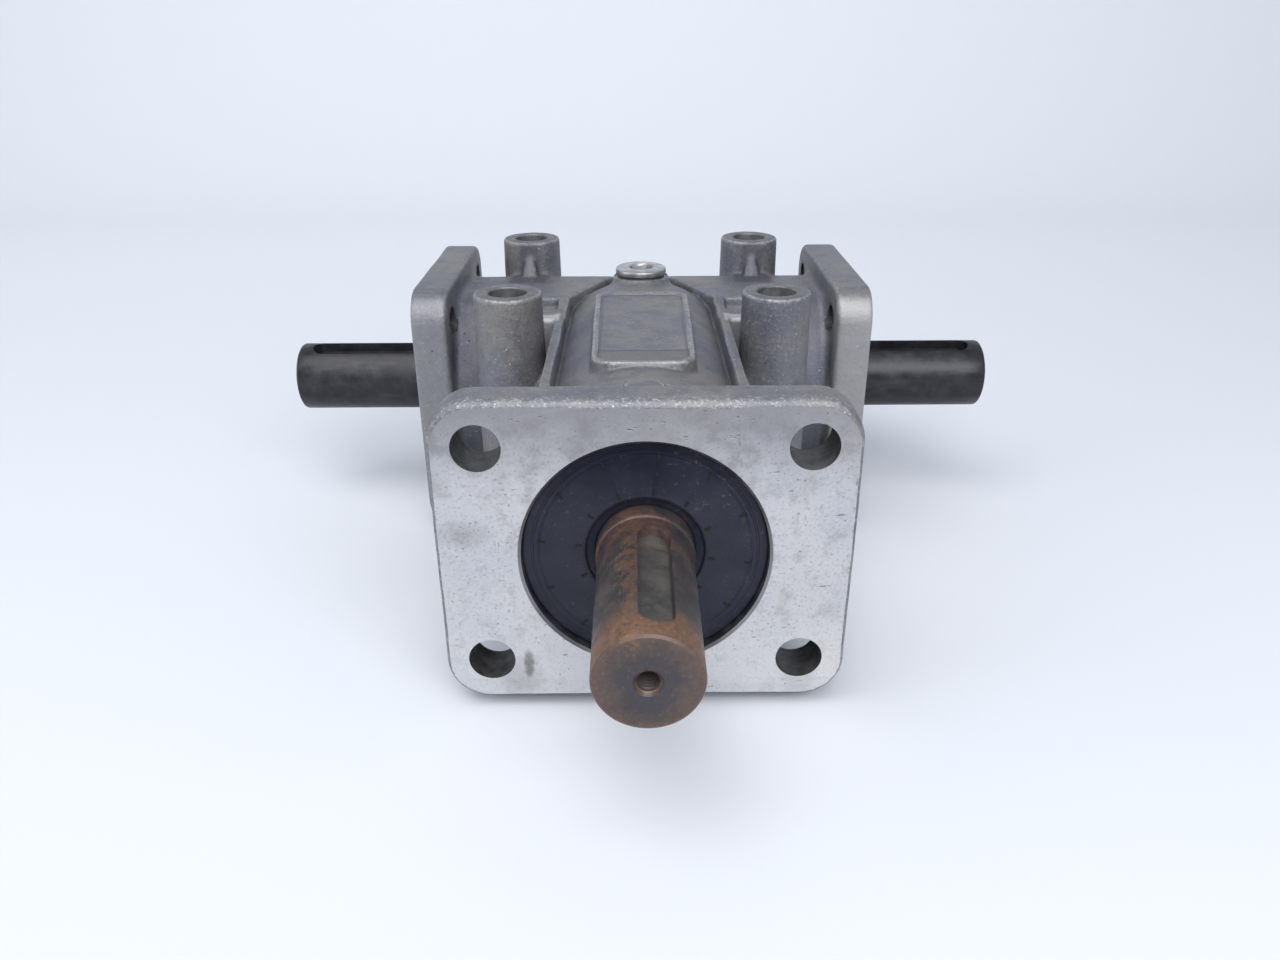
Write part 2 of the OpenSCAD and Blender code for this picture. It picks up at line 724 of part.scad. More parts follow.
// from a gear's hub to the shim, and the shim against the bearing's shoulder plane
module hub_spacer(stop) { sleeve(16, gear_back, stop - shim_t - slip); }
module shim(outer_r, stop) { tube(outer_r, seat_r + 0.05, stop - shim_t - slip, stop - slip); }

module input_spacer_sleeve() {
  color(steel) along_front() sleeve(15.8, rear_brg_y, front_brg_y - neck_brg_w);
}
module pinion_spacer() { color(steel) along_front() hub_spacer(rear_stop_y); }
module pinion_shim() { color(bright_metal) along_front() shim(17, rear_stop_y); }
module gear_spacer() { color(steel) along_right() hub_spacer(side_stop_x); }
module gear_shim() { color(bright_metal) along_right() shim(16.5, side_stop_x); }

place() housing();
place() filler_plug();
place() filler_washer();
place() drain_plug();
place() drain_washer();
place() input_seal();
place() left_seal();
place() right_seal();
place() input_seal_spring();
place() left_seal_spring();
place() right_seal_spring();
place() input_bore_ring();
place() left_bore_ring();
place() right_bore_ring();
place() front_bearing_outer();
place() front_bearing_inner();
place() front_bearing_balls();
place() front_bearing_cage();
place() rear_bearing_outer();
place() rear_bearing_inner();
place() rear_bearing_balls();
place() rear_bearing_cage();
place() left_bearing_outer();
place() left_bearing_inner();
place() left_bearing_balls();
place() left_bearing_cage();
place() right_bearing_outer();
place() right_bearing_inner();
place() right_bearing_balls();
place() right_bearing_cage();
place() input_shaft();
place() input_pinion();
place() pinion_key();
place() pinion_snap_ring();
place() pinion_spacer();
place() pinion_shim();
place() input_spacer_sleeve();
place() input_shaft_ring();
place() cross_shaft();
place() cross_gear();
place() gear_key();
place() gear_snap_ring();
place() gear_spacer();
place() gear_shim();
place() left_shaft_ring();
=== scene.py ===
# A right-angle bevel gearbox: one cast housing with a square front flange and two side flanges,
# a rusted input shaft out of the front and a dark cross shaft out of both sides.
# Front is -Y, right is +X and up is +Z. Shapes are drawn in millimetres about the point where
# the two shaft axes cross, and turned into metres when their mesh is made.
import bpy
import json
import math
import numpy as np
from functools import reduce
from itertools import product
from mathutils import Matrix, Vector


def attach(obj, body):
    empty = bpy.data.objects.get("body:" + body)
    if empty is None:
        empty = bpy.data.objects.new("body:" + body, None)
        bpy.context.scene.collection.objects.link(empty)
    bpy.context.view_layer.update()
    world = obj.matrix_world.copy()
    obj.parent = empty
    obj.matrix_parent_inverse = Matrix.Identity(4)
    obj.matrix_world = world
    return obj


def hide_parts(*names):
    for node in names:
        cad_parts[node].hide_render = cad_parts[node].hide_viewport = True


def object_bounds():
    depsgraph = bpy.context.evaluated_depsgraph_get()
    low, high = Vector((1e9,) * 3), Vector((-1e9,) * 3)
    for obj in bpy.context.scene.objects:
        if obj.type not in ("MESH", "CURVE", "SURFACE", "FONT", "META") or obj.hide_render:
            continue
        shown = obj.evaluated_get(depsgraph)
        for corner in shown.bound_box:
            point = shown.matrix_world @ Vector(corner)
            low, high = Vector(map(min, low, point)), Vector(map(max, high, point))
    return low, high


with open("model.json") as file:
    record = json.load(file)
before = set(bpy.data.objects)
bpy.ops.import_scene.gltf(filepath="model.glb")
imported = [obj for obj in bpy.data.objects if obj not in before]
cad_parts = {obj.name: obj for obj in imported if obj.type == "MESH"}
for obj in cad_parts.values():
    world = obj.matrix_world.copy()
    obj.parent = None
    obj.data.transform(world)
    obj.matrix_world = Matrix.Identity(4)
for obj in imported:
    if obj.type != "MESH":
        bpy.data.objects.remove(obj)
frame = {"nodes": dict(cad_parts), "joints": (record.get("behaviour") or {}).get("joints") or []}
cad_low, cad_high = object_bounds()
nodes = frame["nodes"]

MM = 0.001
CROSSING = Vector(next(j for j in frame["joints"] if j["name"] == "input_spin")["pos_m"])
CENTER = np.array(CROSSING)

# Driving sizes, mm from the crossing
FRONT_FACE = 137.0  # milled face of the front flange
SIDE_FACE = 74.5  # milled faces of the side flanges
FOOT_FACE = 45.0  # milled ends of the foot posts, above and below
FRONT_BORE, SIDE_BORE = 31.0, 26.0  # bore radii, filled by the seals
POST_X = 41.25
FRONT_POST_Y, REAR_POST_Y = -52.2, 27.8
PLUG_SEAT = 36.9

# =============================================================================================
# Mesh helpers. A shape is a pair: vertices and faces
# =============================================================================================

# rotations that lay a shape drawn along +Z along an axis of the frame
ALONG = {
    "front": np.array([[1, 0, 0], [0, 0, -1], [0, 1, 0]], float),
    "right": np.array([[0, 0, 1], [0, 1, 0], [-1, 0, 0]], float),
    "left": np.array([[0, 0, -1], [0, 1, 0], [1, 0, 0]], float),
    "up": np.eye(3),
    "down": np.array([[1, 0, 0], [0, -1, 0], [0, 0, -1]], float),
}


def lay(shape, way):
    return shape[0] @ ALONG[way].T, shape[1]


def move(shape, by):
    return shape[0] + np.array(by, float), shape[1]


def join(shapes):
    verts, faces, count = [], [], 0
    for part_verts, part_faces in shapes:
        verts.append(part_verts)
        faces += [tuple(i + count for i in face) for face in part_faces]
        count += len(part_verts)
    return np.concatenate(verts), faces


def outward(verts, faces):
    """The closed shape with its faces turned outward."""
    verts = np.asarray(verts, float)
    volume = 0.0
    for f in faces:
        for i in range(1, len(f) - 1):
            volume += np.dot(verts[f[0]], np.cross(verts[f[i]], verts[f[i + 1]]))
    return verts, faces if volume > 0 else [tuple(reversed(f)) for f in faces]


def lathe(profile, steps, closed=False):
    """(radius, height) points turned about Z. A point at radius 0 becomes a single vertex.
    A closed profile joins its last point to its first."""
    verts, rows = [], []
    angles = np.arange(steps) * 2 * math.pi / steps
    for radius, height in profile:
        if radius < 1e-9:
            rows.append([len(verts)])
            verts.append((0, 0, height))
        else:
            rows.append(list(range(len(verts), len(verts) + steps)))
            verts += [(radius * math.cos(a), radius * math.sin(a), height) for a in angles]
    faces = []
    for i in range(len(rows) if closed else len(rows) - 1):
        a, b = rows[i], rows[(i + 1) % len(rows)]
        for k in range(steps):
            k2 = (k + 1) % steps
            if len(a) == 1:
                faces.append((a[0], b[k2], b[k]))
            elif len(b) == 1:
                faces.append((a[k], a[k2], b[0]))
            else:
                faces.append((a[k], a[k2], b[k2], b[k]))
    return outward(verts, faces)


def mirrored(profile):
    """The lathe profile mirrored in height, in running order to meet the original."""
    return [(radius, -height) for radius, height in reversed(profile)]


def prism(outline, z0, z1):
    n = len(outline)
    verts = [(x, y, z0) for x, y in outline] + [(x, y, z1) for x, y in outline]
    faces = [tuple(range(n - 1, -1, -1)), tuple(range(n, 2 * n))]
    faces += [(i, (i + 1) % n, n + (i + 1) % n, n + i) for i in range(n)]
    return outward(verts, faces)


def box(center, half):
    hx, hy, hz = half
    return move(prism([(-hx, -hy), (hx, -hy), (hx, hy), (-hx, hy)], -hz, hz), center)


def hole_rod(radius, z0, z1, steps, chamfer):
    """Cutter along +Z that breaks the edge of its hole 1 mm short of its upper end."""
    wide = radius + chamfer
    return lathe([(0, z0), (radius, z0), (radius, z1 - 1 - chamfer), (wide, z1 - 1), (wide, z1),
                  (0, z1)], steps)


def up_and_down(shape):
    return join([shape, lay(shape, "down")])


def new_object(name, shape, materials=()):
    verts, faces = shape
    mesh = bpy.data.meshes.new(name)
    mesh.from_pydata([tuple(p) for p in verts * MM + CENTER], [], [tuple(f) for f in faces])
    mesh.update()
    for material in materials:
        mesh.materials.append(material)
    ob = bpy.data.objects.new(name, mesh)
    bpy.context.scene.collection.objects.link(ob)
    return ob


def shade(ob, angle=30):
    mesh = ob.data
    mesh.polygons.foreach_set("use_smooth", np.ones(len(mesh.polygons), bool))
    mesh.set_sharp_from_angle(angle=math.radians(angle))
    mesh.update()


def bake(ob, modifier):
    """Applies a modifier."""
    depsgraph = bpy.context.evaluated_depsgraph_get()
    mesh = bpy.data.meshes.new_from_object(ob.evaluated_get(depsgraph), depsgraph=depsgraph)
    ob.modifiers.remove(modifier)
    old = ob.data
    ob.data = mesh
    bpy.data.meshes.remove(old)


def cut(ob, shape, operation="DIFFERENCE"):
    """Cuts a closed shape out of an object, or fuses it on with UNION."""
    tool = new_object("cutter", shape)
    boolean = ob.modifiers.new("cut", "BOOLEAN")
    boolean.operation = operation
    boolean.object = tool
    boolean.solver = "MANIFOLD"
    bake(ob, boolean)
    if len(ob.data.polygons) < 4:
        raise RuntimeError("a cut left nothing of " + ob.name)
    bpy.data.objects.remove(tool)


def soften(ob, width):
    """A small bevel on the crisp edges."""
    bevel = ob.modifiers.new("b", "BEVEL")
    bevel.width = width * MM
    bevel.segments = 2
    bevel.limit_method = "ANGLE"
    bevel.angle_limit = math.radians(40)
    bake(ob, bevel)


def read_vectors(items, key):
    flat = np.zeros(len(items) * 3, np.float32)
    items.foreach_get(key, flat)
    return flat.reshape(-1, 3)


def to_mm(points):
    return (points - CENTER) / MM


def add_float(ob, name, values):
    attribute = ob.data.attributes.new(name, "FLOAT", "POINT")
    attribute.data.foreach_set("value", values.astype(np.float32))


def register(ob, rides_on, replaced):
    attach(ob, rides_on)
    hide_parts(replaced)


# =============================================================================================
# Materials. Object coordinates are metres in the frame
# =============================================================================================


class Graph:
    """Short calls for building a node tree. A field is a socket that carries one number."""

    def __init__(self, name):
        self.mat = bpy.data.materials.new(name)
        self.mat.use_nodes = True
        self.tree = self.mat.node_tree
        self.tree.nodes.clear()
        out = self.node("ShaderNodeOutputMaterial")
        self.bsdf = self.node("ShaderNodeBsdfPrincipled")
        self.link(self.bsdf.outputs[0], out.inputs[0])
        self.coords = self.node("ShaderNodeTexCoord").outputs["Object"]

    def node(self, kind, **props):
        n = self.tree.nodes.new(kind)
        for key, value in props.items():
            setattr(n, key, value)
        return n

    def link(self, source, socket):
        self.tree.links.new(source, socket)

    def put(self, socket, value):
        if isinstance(value, bpy.types.NodeSocket):
            self.link(value, socket)
        else:
            socket.default_value = value

    def math(self, operation, a, b=0.0, clamp=False):
        n = self.node("ShaderNodeMath", operation=operation, use_clamp=clamp)
        self.put(n.inputs[0], a)
        self.put(n.inputs[1], b)
        n.inputs[2].default_value = 0.0
        return n.outputs[0]

    def add(self, a, b):
        return self.math("ADD", a, b)

    def sub(self, a, b):
        return self.math("SUBTRACT", a, b)

    def times(self, a, b):
        return self.math("MULTIPLY", a, b)

    def centred(self, noise, amount):
        """Noise shifted to lie about zero, and scaled."""
        return self.times(self.sub(noise, 0.5), amount)

    def squares(self, a, b):
        return self.add(self.times(a, a), self.times(b, b))

    def mapped(self, scale, rot=(0, 0, 0)):
        n = self.node("ShaderNodeMapping")
        n.inputs["Scale"].default_value = scale
        n.inputs["Rotation"].default_value = rot
        self.link(self.coords, n.inputs["Vector"])
        return n.outputs[0]

    def noise(self, mm, detail=4.0, rough=0.55, vec=None, dist=0.0):
        """Noise whose features are about mm millimetres across."""
        n = self.node("ShaderNodeTexNoise")
        n.inputs["Scale"].default_value = 1000.0 / mm
        n.inputs["Detail"].default_value = detail
        n.inputs["Roughness"].default_value = rough
        n.inputs["Distortion"].default_value = dist
        self.link(vec or self.coords, n.inputs["Vector"])
        return n.outputs[0]

    def cells(self, mm):
        """Distance to the nearest of scattered points about mm millimetres apart."""
        n = self.node("ShaderNodeTexVoronoi")
        n.inputs["Scale"].default_value = 1000.0 / mm
        self.link(self.coords, n.inputs["Vector"])
        return n.outputs["Distance"]

    def ramp(self, field, *stops):
        """Colour from (position, colour) stops."""
        n = self.node("ShaderNodeValToRGB")
        elements = n.color_ramp.elements
        while len(elements) < len(stops):
            elements.new(0.5)
        for element, (position, color) in zip(elements, stops):
            element.position = position
            element.color = (*color, 1)
        self.put(n.inputs[0], field)
        return n.outputs[0]

    def band(self, field, start, stop, low=0.0, high=1.0):
        """Maps start..stop smoothly to low..high, clamped."""
        n = self.node("ShaderNodeMapRange", interpolation_type="SMOOTHSTEP")
        self.put(n.inputs[0], field)
        for i, value in enumerate((start, stop, low, high), 1):
            n.inputs[i].default_value = value
        return n.outputs[0]

    def zone(self, *rows):
        """Product of bands. A row holds the arguments of one band."""
        return reduce(self.times, [self.band(*row) for row in rows])

    def mix(self, amount, a, b):
        n = self.node("ShaderNodeMix", data_type="RGBA", blend_type="MIX")
        self.put(n.inputs[0], amount)
        for i, value in ((6, a), (7, b)):
            is_socket = isinstance(value, bpy.types.NodeSocket)
            self.put(n.inputs[i], value if is_socket else (*value, 1))
        return n.outputs[2]

    def layers(self, tone, *rows):
        """Lays colours over a tone. Columns: field, its value where the colour starts,
        its value where the colour is full, strength when full, colour."""
        for field, start, full, strength, color in rows:
            tone = self.mix(self.band(field, start, full, 0.0, strength), tone, color)
        return tone

    def stain(self, tone, mask, strength, color):
        return self.mix(self.times(mask, strength), tone, color)

    def axes(self):
        n = self.node("ShaderNodeSeparateXYZ")
        self.link(self.coords, n.inputs[0])
        return n.outputs[0], n.outputs[1], n.outputs[2]

    def bump(self, height, mm):
        n = self.node("ShaderNodeBump")
        n.inputs["Distance"].default_value = mm * MM
        self.link(height, n.inputs["Height"])
        return n.outputs[0]

    def finish(self, color, rough, metal, normal=None, spec=None):
        sockets = self.bsdf.inputs
        self.put(sockets["Base Color"], color)
        self.put(sockets["Roughness"], rough)
        self.put(sockets["Metallic"], metal)
        if normal is not None:
            self.put(sockets["Normal"], normal)
        if spec is not None:
            self.put(sockets["Specular IOR Level"], spec)
        return self.mat


def grey(value, tint):
    return (value * tint[0], value * tint[1], value * tint[2])


def cast_material():
    g = Graph("cast_aluminium")
    x, y, z = g.axes()
    big = g.noise(mm=24, detail=3, rough=0.5)
    mid = g.noise(mm=7.5, detail=4, rough=0.6, dist=0.4)
    small = g.noise(mm=2.4, detail=4, rough=0.6)
    fine = g.noise(mm=1.05, detail=4, rough=0.7)
    grain = g.noise(mm=0.5, detail=3, rough=0.65)
    # blue-grey and brown-grey patches under finer mottling
    tone = g.ramp(big, (0.33, (0.155, 0.163, 0.200)), (0.5, (0.205, 0.205, 0.218)),
                  (0.67, (0.242, 0.230, 0.216)))
    tone = g.layers(
        tone,
        (mid, 0.46, 0.66, 0.46, (0.105, 0.113, 0.148)),
        (mid, 0.43, 0.28, 0.34, (0.285, 0.274, 0.258)),
        (small, 0.50, 0.72, 0.45, (0.150, 0.150, 0.165)),
        (fine, 0.52, 0.72, 0.62, (0.36, 0.36, 0.37)),
        (fine, 0.45, 0.27, 0.62, (0.088, 0.088, 0.102)),
        (grain, 0.56, 0.74, 0.42, (0.42, 0.42, 0.43)))
    # painted shade in the hollows; bare worn metal on the edges, painted lighter as a highlight
    curv = g.node("ShaderNodeAttribute", attribute_name="curv").outputs["Fac"]
    hollow_shade = g.add(curv, g.centred(mid, amount=0.3))
    tone = g.layers(tone, (hollow_shade, -0.10, -0.70, 0.55, (0.055, 0.057, 0.070)))
    # painted glints on the worn edges
    glint_speckle = g.band(g.add(fine, g.times(grain, 0.5)), 0.66, 0.88)
    edge = g.band(g.add(curv, g.centred(small, amount=0.9)), 0.22, 1.05, low=0.0, high=0.42)
    tone = g.mix(edge, tone, (0.36, 0.36, 0.37))
    edge_glint = g.math("MULTIPLY", g.times(edge, glint_speckle), 1.1, clamp=True)
    tone = g.mix(edge_glint, tone, (0.70, 0.70, 0.71))
    # the rubbed upper front edge of the front flange, painted lighter as a highlight, with
    # painted glints
    rub_and_highlight = g.zone((y, -0.1205, -0.1232), (z, 0.0815, 0.0850))
    tone = g.stain(tone, rub_and_highlight, strength=0.22, color=(0.28, 0.28, 0.29))
    glint = g.band(g.add(fine, g.times(grain, 0.6)), 0.80, 0.98, low=0.0, high=0.40)
    tone = g.mix(g.times(rub_and_highlight, glint), tone, (0.62, 0.62, 0.63))
    # an even darkening
    tone = g.mix(0.13, tone, (0.035, 0.035, 0.042))
    side_x = g.math("ABSOLUTE", x)
    # painted light on the front edges of the side flanges, more on the right
    side_front_light = g.zone((side_x, 0.0605, 0.0630), (y, -0.0235, -0.0265), (x, -0.02, 0.02, 0.45, 0.95))
    tone = g.stain(tone, side_front_light, strength=0.55, color=(0.44, 0.435, 0.43))
    # painted light on the fronts of the cross webs, which stand in shade between post and rib
    web_front_light = g.zone((side_x, 0.0262, 0.0275), (side_x, 0.0405, 0.0385), (y, -0.0285, -0.0265),
                 (y, -0.0200, -0.0215), (z, 0.052, 0.060))
    tone = g.stain(tone, web_front_light, strength=0.66, color=(0.54, 0.54, 0.555))
    # painted shade on the front of the barrel between the posts and the side flanges
    barrel_shade = g.zone((side_x, 0.0515, 0.0530), (side_x, 0.0615, 0.0600), (y, 0.012, -0.004),
                  (z, 0.084, 0.078))
    tone = g.stain(tone, barrel_shade, strength=0.42, color=(0.080, 0.084, 0.112))
    # painted shade on the gussets that lean on the rear posts
    gusset_shade = g.zone((side_x, 0.0335, 0.0355), (side_x, 0.0490, 0.0470), (y, 0.0170, 0.0190),
                  (y, 0.0306, 0.0296), (z, 0.068, 0.072))
    tone = g.stain(tone, gusset_shade, strength=0.62, color=(0.080, 0.080, 0.095))
    # darker, browner front end of the panel's floor, with a faint dark straight line
    floor_front_brown = g.zone((side_x, 0.0134, 0.0130), (y, -0.0732, -0.0740), (y, -0.0850, -0.0836),
                    (z, 0.0812, 0.0818))
    tone = g.stain(tone, floor_front_brown, strength=0.36, color=(0.130, 0.122, 0.108))
    line = g.zone((side_x, 0.0126, 0.0122), (y, -0.0728, -0.0732), (y, -0.0740, -0.0736),
                  (z, 0.0812, 0.0818))
    tone = g.stain(tone, line, strength=0.60, color=(0.060, 0.060, 0.064))
    # a few flecks and pits
    fleck = g.zone((g.cells(mm=2.1), 0.13, 0.06, 0.0, 0.75),
                   (g.noise(mm=8, detail=2), 0.50, 0.62))
    tone = g.mix(fleck, tone, (0.62, 0.62, 0.63))
    pit = g.zone((g.cells(mm=3.4), 0.11, 0.06, 0.0, 0.8), (g.noise(mm=6, detail=2), 0.52, 0.62))
    tone = g.mix(pit, tone, (0.035, 0.035, 0.042))
    # worn edges are smoother
    rough = g.add(g.band(fine, 0.2, 0.8, low=0.46, high=0.64), g.times(edge, -0.16))
    height = g.add(g.times(mid, 0.5), g.add(g.times(fine, 0.34), g.times(grain, 0.2)))
    height = g.sub(height, g.times(pit, 0.3))
    return g.finish(tone, rough, metal=0.66, normal=g.bump(height, mm=0.45))


# stains on the milled front face, metres: centre x, z, half width x, z, strength
FACE_STAINS = (
    (-0.0305, 0.0135, 0.0011, 0.0035, 0.65),
    (-0.033, 0.009, 0.0045, 0.005, 0.25),
    (0.040, 0.012, 0.004, 0.007, 0.18),
    (-0.045, 0.052, 0.006, 0.003, 0.2),
)


def milled_material():
    g = Graph("milled_aluminium")
    x, y, z = g.axes()
    big = g.noise(mm=24, detail=3, rough=0.5)
    mid = g.noise(mm=6.0, detail=5, rough=0.62)
    small = g.noise(mm=2.0, detail=4, rough=0.6)
    fine = g.noise(mm=0.8, detail=4, rough=0.65)
    tone = g.ramp(big, (0.3, (0.475, 0.484, 0.520)), (0.55, (0.540, 0.540, 0.554)),
                  (0.75, (0.565, 0.554, 0.536)))
    # mottling, and a paler lower part: a painted reflection of the bright floor
    tone = g.layers(
        tone,
        (mid, 0.50, 0.68, 0.55, (0.365, 0.358, 0.362)),
        (small, 0.55, 0.72, 0.32, (0.28, 0.28, 0.295)),
        (fine, 0.54, 0.70, 0.68, (0.19, 0.195, 0.22)),
        (fine, 0.45, 0.29, 0.55, (0.66, 0.66, 0.67)),
        (z, 0.036, 0.008, 0.42, (0.74, 0.735, 0.73)))
    # painted reflection: darker towards the top edge of the face
    ragged_z = g.add(z, g.centred(mid, amount=0.02))
    tone = g.layers(tone, (ragged_z, 0.058, 0.086, 0.84, (0.205, 0.203, 0.216)))
    # pits, short upright scores and slanting ones
    pit = g.band(g.cells(mm=1.9), 0.16, 0.07, low=0.0, high=0.7)
    upright = g.mapped(scale=(1.0, 1.0, 0.28))
    score = g.noise(mm=1.6, detail=3, rough=0.6, vec=upright)
    score = g.band(score, 0.64, 0.72, low=0.0, high=0.6)
    slanting = g.mapped(scale=(0.3, 1.0, 1.0), rot=(0, 0.5, 0))
    cross_score = g.noise(mm=1.4, detail=3, rough=0.6, vec=slanting)
    cross_score = g.band(cross_score, 0.66, 0.73, low=0.0, high=0.6)
    patches = g.band(g.noise(mm=9, detail=3), 0.45, 0.62, low=0.10, high=1.0)
    scores = g.math("MAXIMUM", g.times(score, patches), cross_score)
    marks = g.math("MAXIMUM", g.times(pit, patches), scores)
    tone = g.mix(marks, tone, (0.115, 0.118, 0.135))
    for center_x, center_z, half_x, half_z, strength in FACE_STAINS:
        dx = g.math("DIVIDE", g.sub(x, center_x), half_x)
        dz = g.math("DIVIDE", g.sub(z, center_z), half_z)
        distance = g.add(g.squares(dx, dz), g.centred(small, amount=3.0))
        soft = g.zone((distance, 2.4, 0.2, 0.0, strength), (y, -0.12, -0.1247))
        tone = g.mix(soft, tone, (0.10, 0.095, 0.095))
    rough = g.band(mid, 0.3, 0.7, low=0.42, high=0.55)
    height = g.add(g.times(small, 0.12), g.times(fine, 0.16))
    height = g.sub(height, g.times(marks, 0.55))
    return g.finish(tone, rough, metal=0.60, normal=g.bump(height, mm=0.25))


def rust_material():
    """Front stub: brown and grey film, reddish near the shoulder, orange near the end and
    beside the keyway."""
    g = Graph("rusted_steel")
    x, y, z = g.axes()
    from_axis_z = g.sub(z, CENTER[2])
    along = g.sub(y, CENTER[1])
    big = g.noise(mm=15, detail=4, rough=0.55)
    mid = g.noise(mm=5.0, detail=4, rough=0.6)
    fine = g.noise(mm=1.1, detail=5, rough=0.7)
    tone = g.ramp(big, (0.32, (0.050, 0.050, 0.052)), (0.5, (0.074, 0.066, 0.063)),
                  (0.68, (0.108, 0.088, 0.082)))
    film = g.band(mid, 0.36, 0.70, low=0.55, high=0.0)
    tone = g.mix(film, tone, (0.040, 0.041, 0.044))
    ragged = g.add(g.centred(mid, amount=0.016), g.centred(fine, amount=0.007))
    rust = g.ramp(fine, (0.3, (0.135, 0.070, 0.042)), (0.6, (0.255, 0.134, 0.070)),
                  (0.8, (0.34, 0.185, 0.095)))
    # near the end of the stub, less on the end face
    near_end = g.zone((g.add(along, ragged), -0.173, -0.181, 0.0, 0.72),
                      (along, -0.1866, -0.1862, 0.2, 1.0))
    tone = g.mix(near_end, tone, rust)
    # beside the keyway
    beside = g.math("ABSOLUTE", g.add(g.sub(x, -0.0038), ragged))
    beside = g.zone((beside, 0.0028, 0.0006, 0.0, 0.45), (from_axis_z, 0.006, 0.010))
    tone = g.mix(beside, tone, rust)
    # reddish brown round the shoulder
    shoulder = g.add(along, g.times(ragged, 1.4))
    red = g.zone((shoulder, -0.153, -0.141, 0.0, 0.62), (big, 0.40, 0.56))
    red_tone = g.ramp(fine, (0.3, (0.085, 0.045, 0.038)), (0.7, (0.165, 0.088, 0.068)))
    tone = g.mix(red, tone, red_tone)
    # end face: dark centre and brown rim, by squared distance from the axis
    ragged_square = g.add(g.squares(x, from_axis_z), g.centred(mid, amount=0.00011))
    face = g.band(along, -0.1864, -0.1867)
    dark_center = g.band(ragged_square, 0.000085, 0.000020, low=0.0, high=0.62)
    tone = g.mix(g.times(face, dark_center), tone, (0.042, 0.046, 0.060))
    brown_rim = g.band(ragged_square, 0.000080, 0.000135, low=0.0, high=0.40)
    tone = g.mix(g.times(face, brown_rim), tone, (0.150, 0.088, 0.066))
    # greyer floor of the keyway
    floor = g.zone((g.squares(x, from_axis_z), 0.0000925, 0.0000860), (along, -0.1862, -0.1855))
    floor_tone = g.ramp(mid, (0.35, (0.082, 0.083, 0.082)), (0.65, (0.125, 0.118, 0.110)))
    tone = g.stain(tone, floor, strength=0.85, color=floor_tone)
    # pale and dark pitting
    tone = g.layers(
        tone,
        (fine, 0.55, 0.74, 0.45, (0.20, 0.165, 0.145)),
        (fine, 0.42, 0.26, 0.55, (0.024, 0.021, 0.022)))
    rough = g.band(mid, 0.3, 0.7, low=0.38, high=0.58)
    height = g.add(g.times(mid, 0.35), g.times(fine, 0.40))
    return g.finish(tone, rough, metal=0.5, normal=g.bump(height, mm=0.14))


def dark_shaft_material():
    g = Graph("dark_oxide_steel")
    # lighter streaks run along the shaft: oil streaks, painted lighter as a sheen
    streak = g.noise(mm=3.2, detail=4, rough=0.6, vec=g.mapped(scale=(0.16, 1, 1)))
    mid = g.noise(mm=5.5, detail=5, rough=0.62)
    fine = g.noise(mm=0.9, detail=4, rough=0.6)
    tone = g.ramp(mid, (0.3, (0.026, 0.026, 0.030)), (0.55, (0.042, 0.042, 0.047)),
                  (0.75, (0.062, 0.060, 0.062)))
    tone = g.layers(
        tone,
        (streak, 0.52, 0.78, 0.45, (0.085, 0.084, 0.090)),
        (fine, 0.62, 0.8, 0.25, (0.12, 0.105, 0.095)))
    rough = g.band(mid, 0.3, 0.7, low=0.30, high=0.46)
    height = g.add(g.times(mid, 0.4), g.times(fine, 0.3))
    return g.finish(tone, rough, metal=0.72, normal=g.bump(height, mm=0.07))


def rubber_material():
    g = Graph("seal_rubber")
    z = g.axes()[2]
    big = g.noise(mm=9, detail=4, rough=0.6)
    fine = g.noise(mm=1.0, detail=4, rough=0.65)
    tone = g.ramp(big, (0.35, grey(0.0115, tint=(0.86, 1.0, 1.85))),
                  (0.6, grey(0.0175, tint=(0.90, 1.0, 1.75))),
                  (0.8, grey(0.026, tint=(0.98, 1.0, 1.25))))
    tone = g.layers(tone, (fine, 0.56, 0.74, 0.30, (0.060, 0.062, 0.078)))
    dust = g.add(fine, g.times(big, 0.5))
    tone = g.layers(tone, (dust, 0.86, 1.04, 0.30, (0.13, 0.115, 0.10)))
    rough = g.band(fine, 0.3, 0.7, low=0.44, high=0.60)
    # less shine towards the top: painted shade on the seal's upper part
    return g.finish(tone, rough, metal=0.0, normal=g.bump(fine, mm=0.05),
                    spec=g.band(z, 0.056, 0.074, low=0.36, high=0.08))


def steel(name, tone, rough, tint=(1, 1, 1), mm=2.0, metal=1.0, vary=0.25):
    """Plain metal, mottled by the share vary, with marks of a size set by mm."""
    g = Graph(name)
    mid = g.noise(mm=mm * 3, detail=4, rough=0.6)
    fine = g.noise(mm=mm * 0.4, detail=4, rough=0.6)
    color = g.mix(g.band(mid, 0.3, 0.7), grey(tone * (1 - vary), tint),
                  grey(tone * (1 + vary), tint))
    color = g.layers(color, (fine, 0.6, 0.85, 0.35, grey(tone * 0.45, tint)))
    roughness = g.band(fine, 0.25, 0.75, low=rough * 0.8, high=rough * 1.25)
    return g.finish(color, roughness, metal, normal=g.bump(fine, mm=0.02))


def turned(name, tone, rough, axis, tint=(1, 1, 1.01)):
    """Turned or ground metal with fine rings round its axis."""
    g = Graph(name)
    rings = g.node("ShaderNodeTexWave", wave_type="BANDS", bands_direction=axis,
                   wave_profile="SIN")
    rings.inputs["Scale"].default_value = 900
    rings.inputs["Distortion"].default_value = 0.6
    g.link(g.coords, rings.inputs["Vector"])
    mid = g.noise(mm=5, detail=4, rough=0.6)
    fine = g.noise(mm=0.7, detail=3, rough=0.6)
    color = g.mix(g.band(mid, 0.3, 0.7), grey(tone * 0.82, tint), grey(tone * 1.12, tint))
    color = g.layers(color, (fine, 0.62, 0.85, 0.3, grey(tone * 0.5, tint)))
    height = g.add(g.times(rings.outputs["Fac"], 0.5), g.times(fine, 0.4))
    roughness = g.band(mid, 0.3, 0.7, low=rough * 0.8, high=rough * 1.2)
    return g.finish(color, roughness, metal=1.0, normal=g.bump(height, mm=0.012))


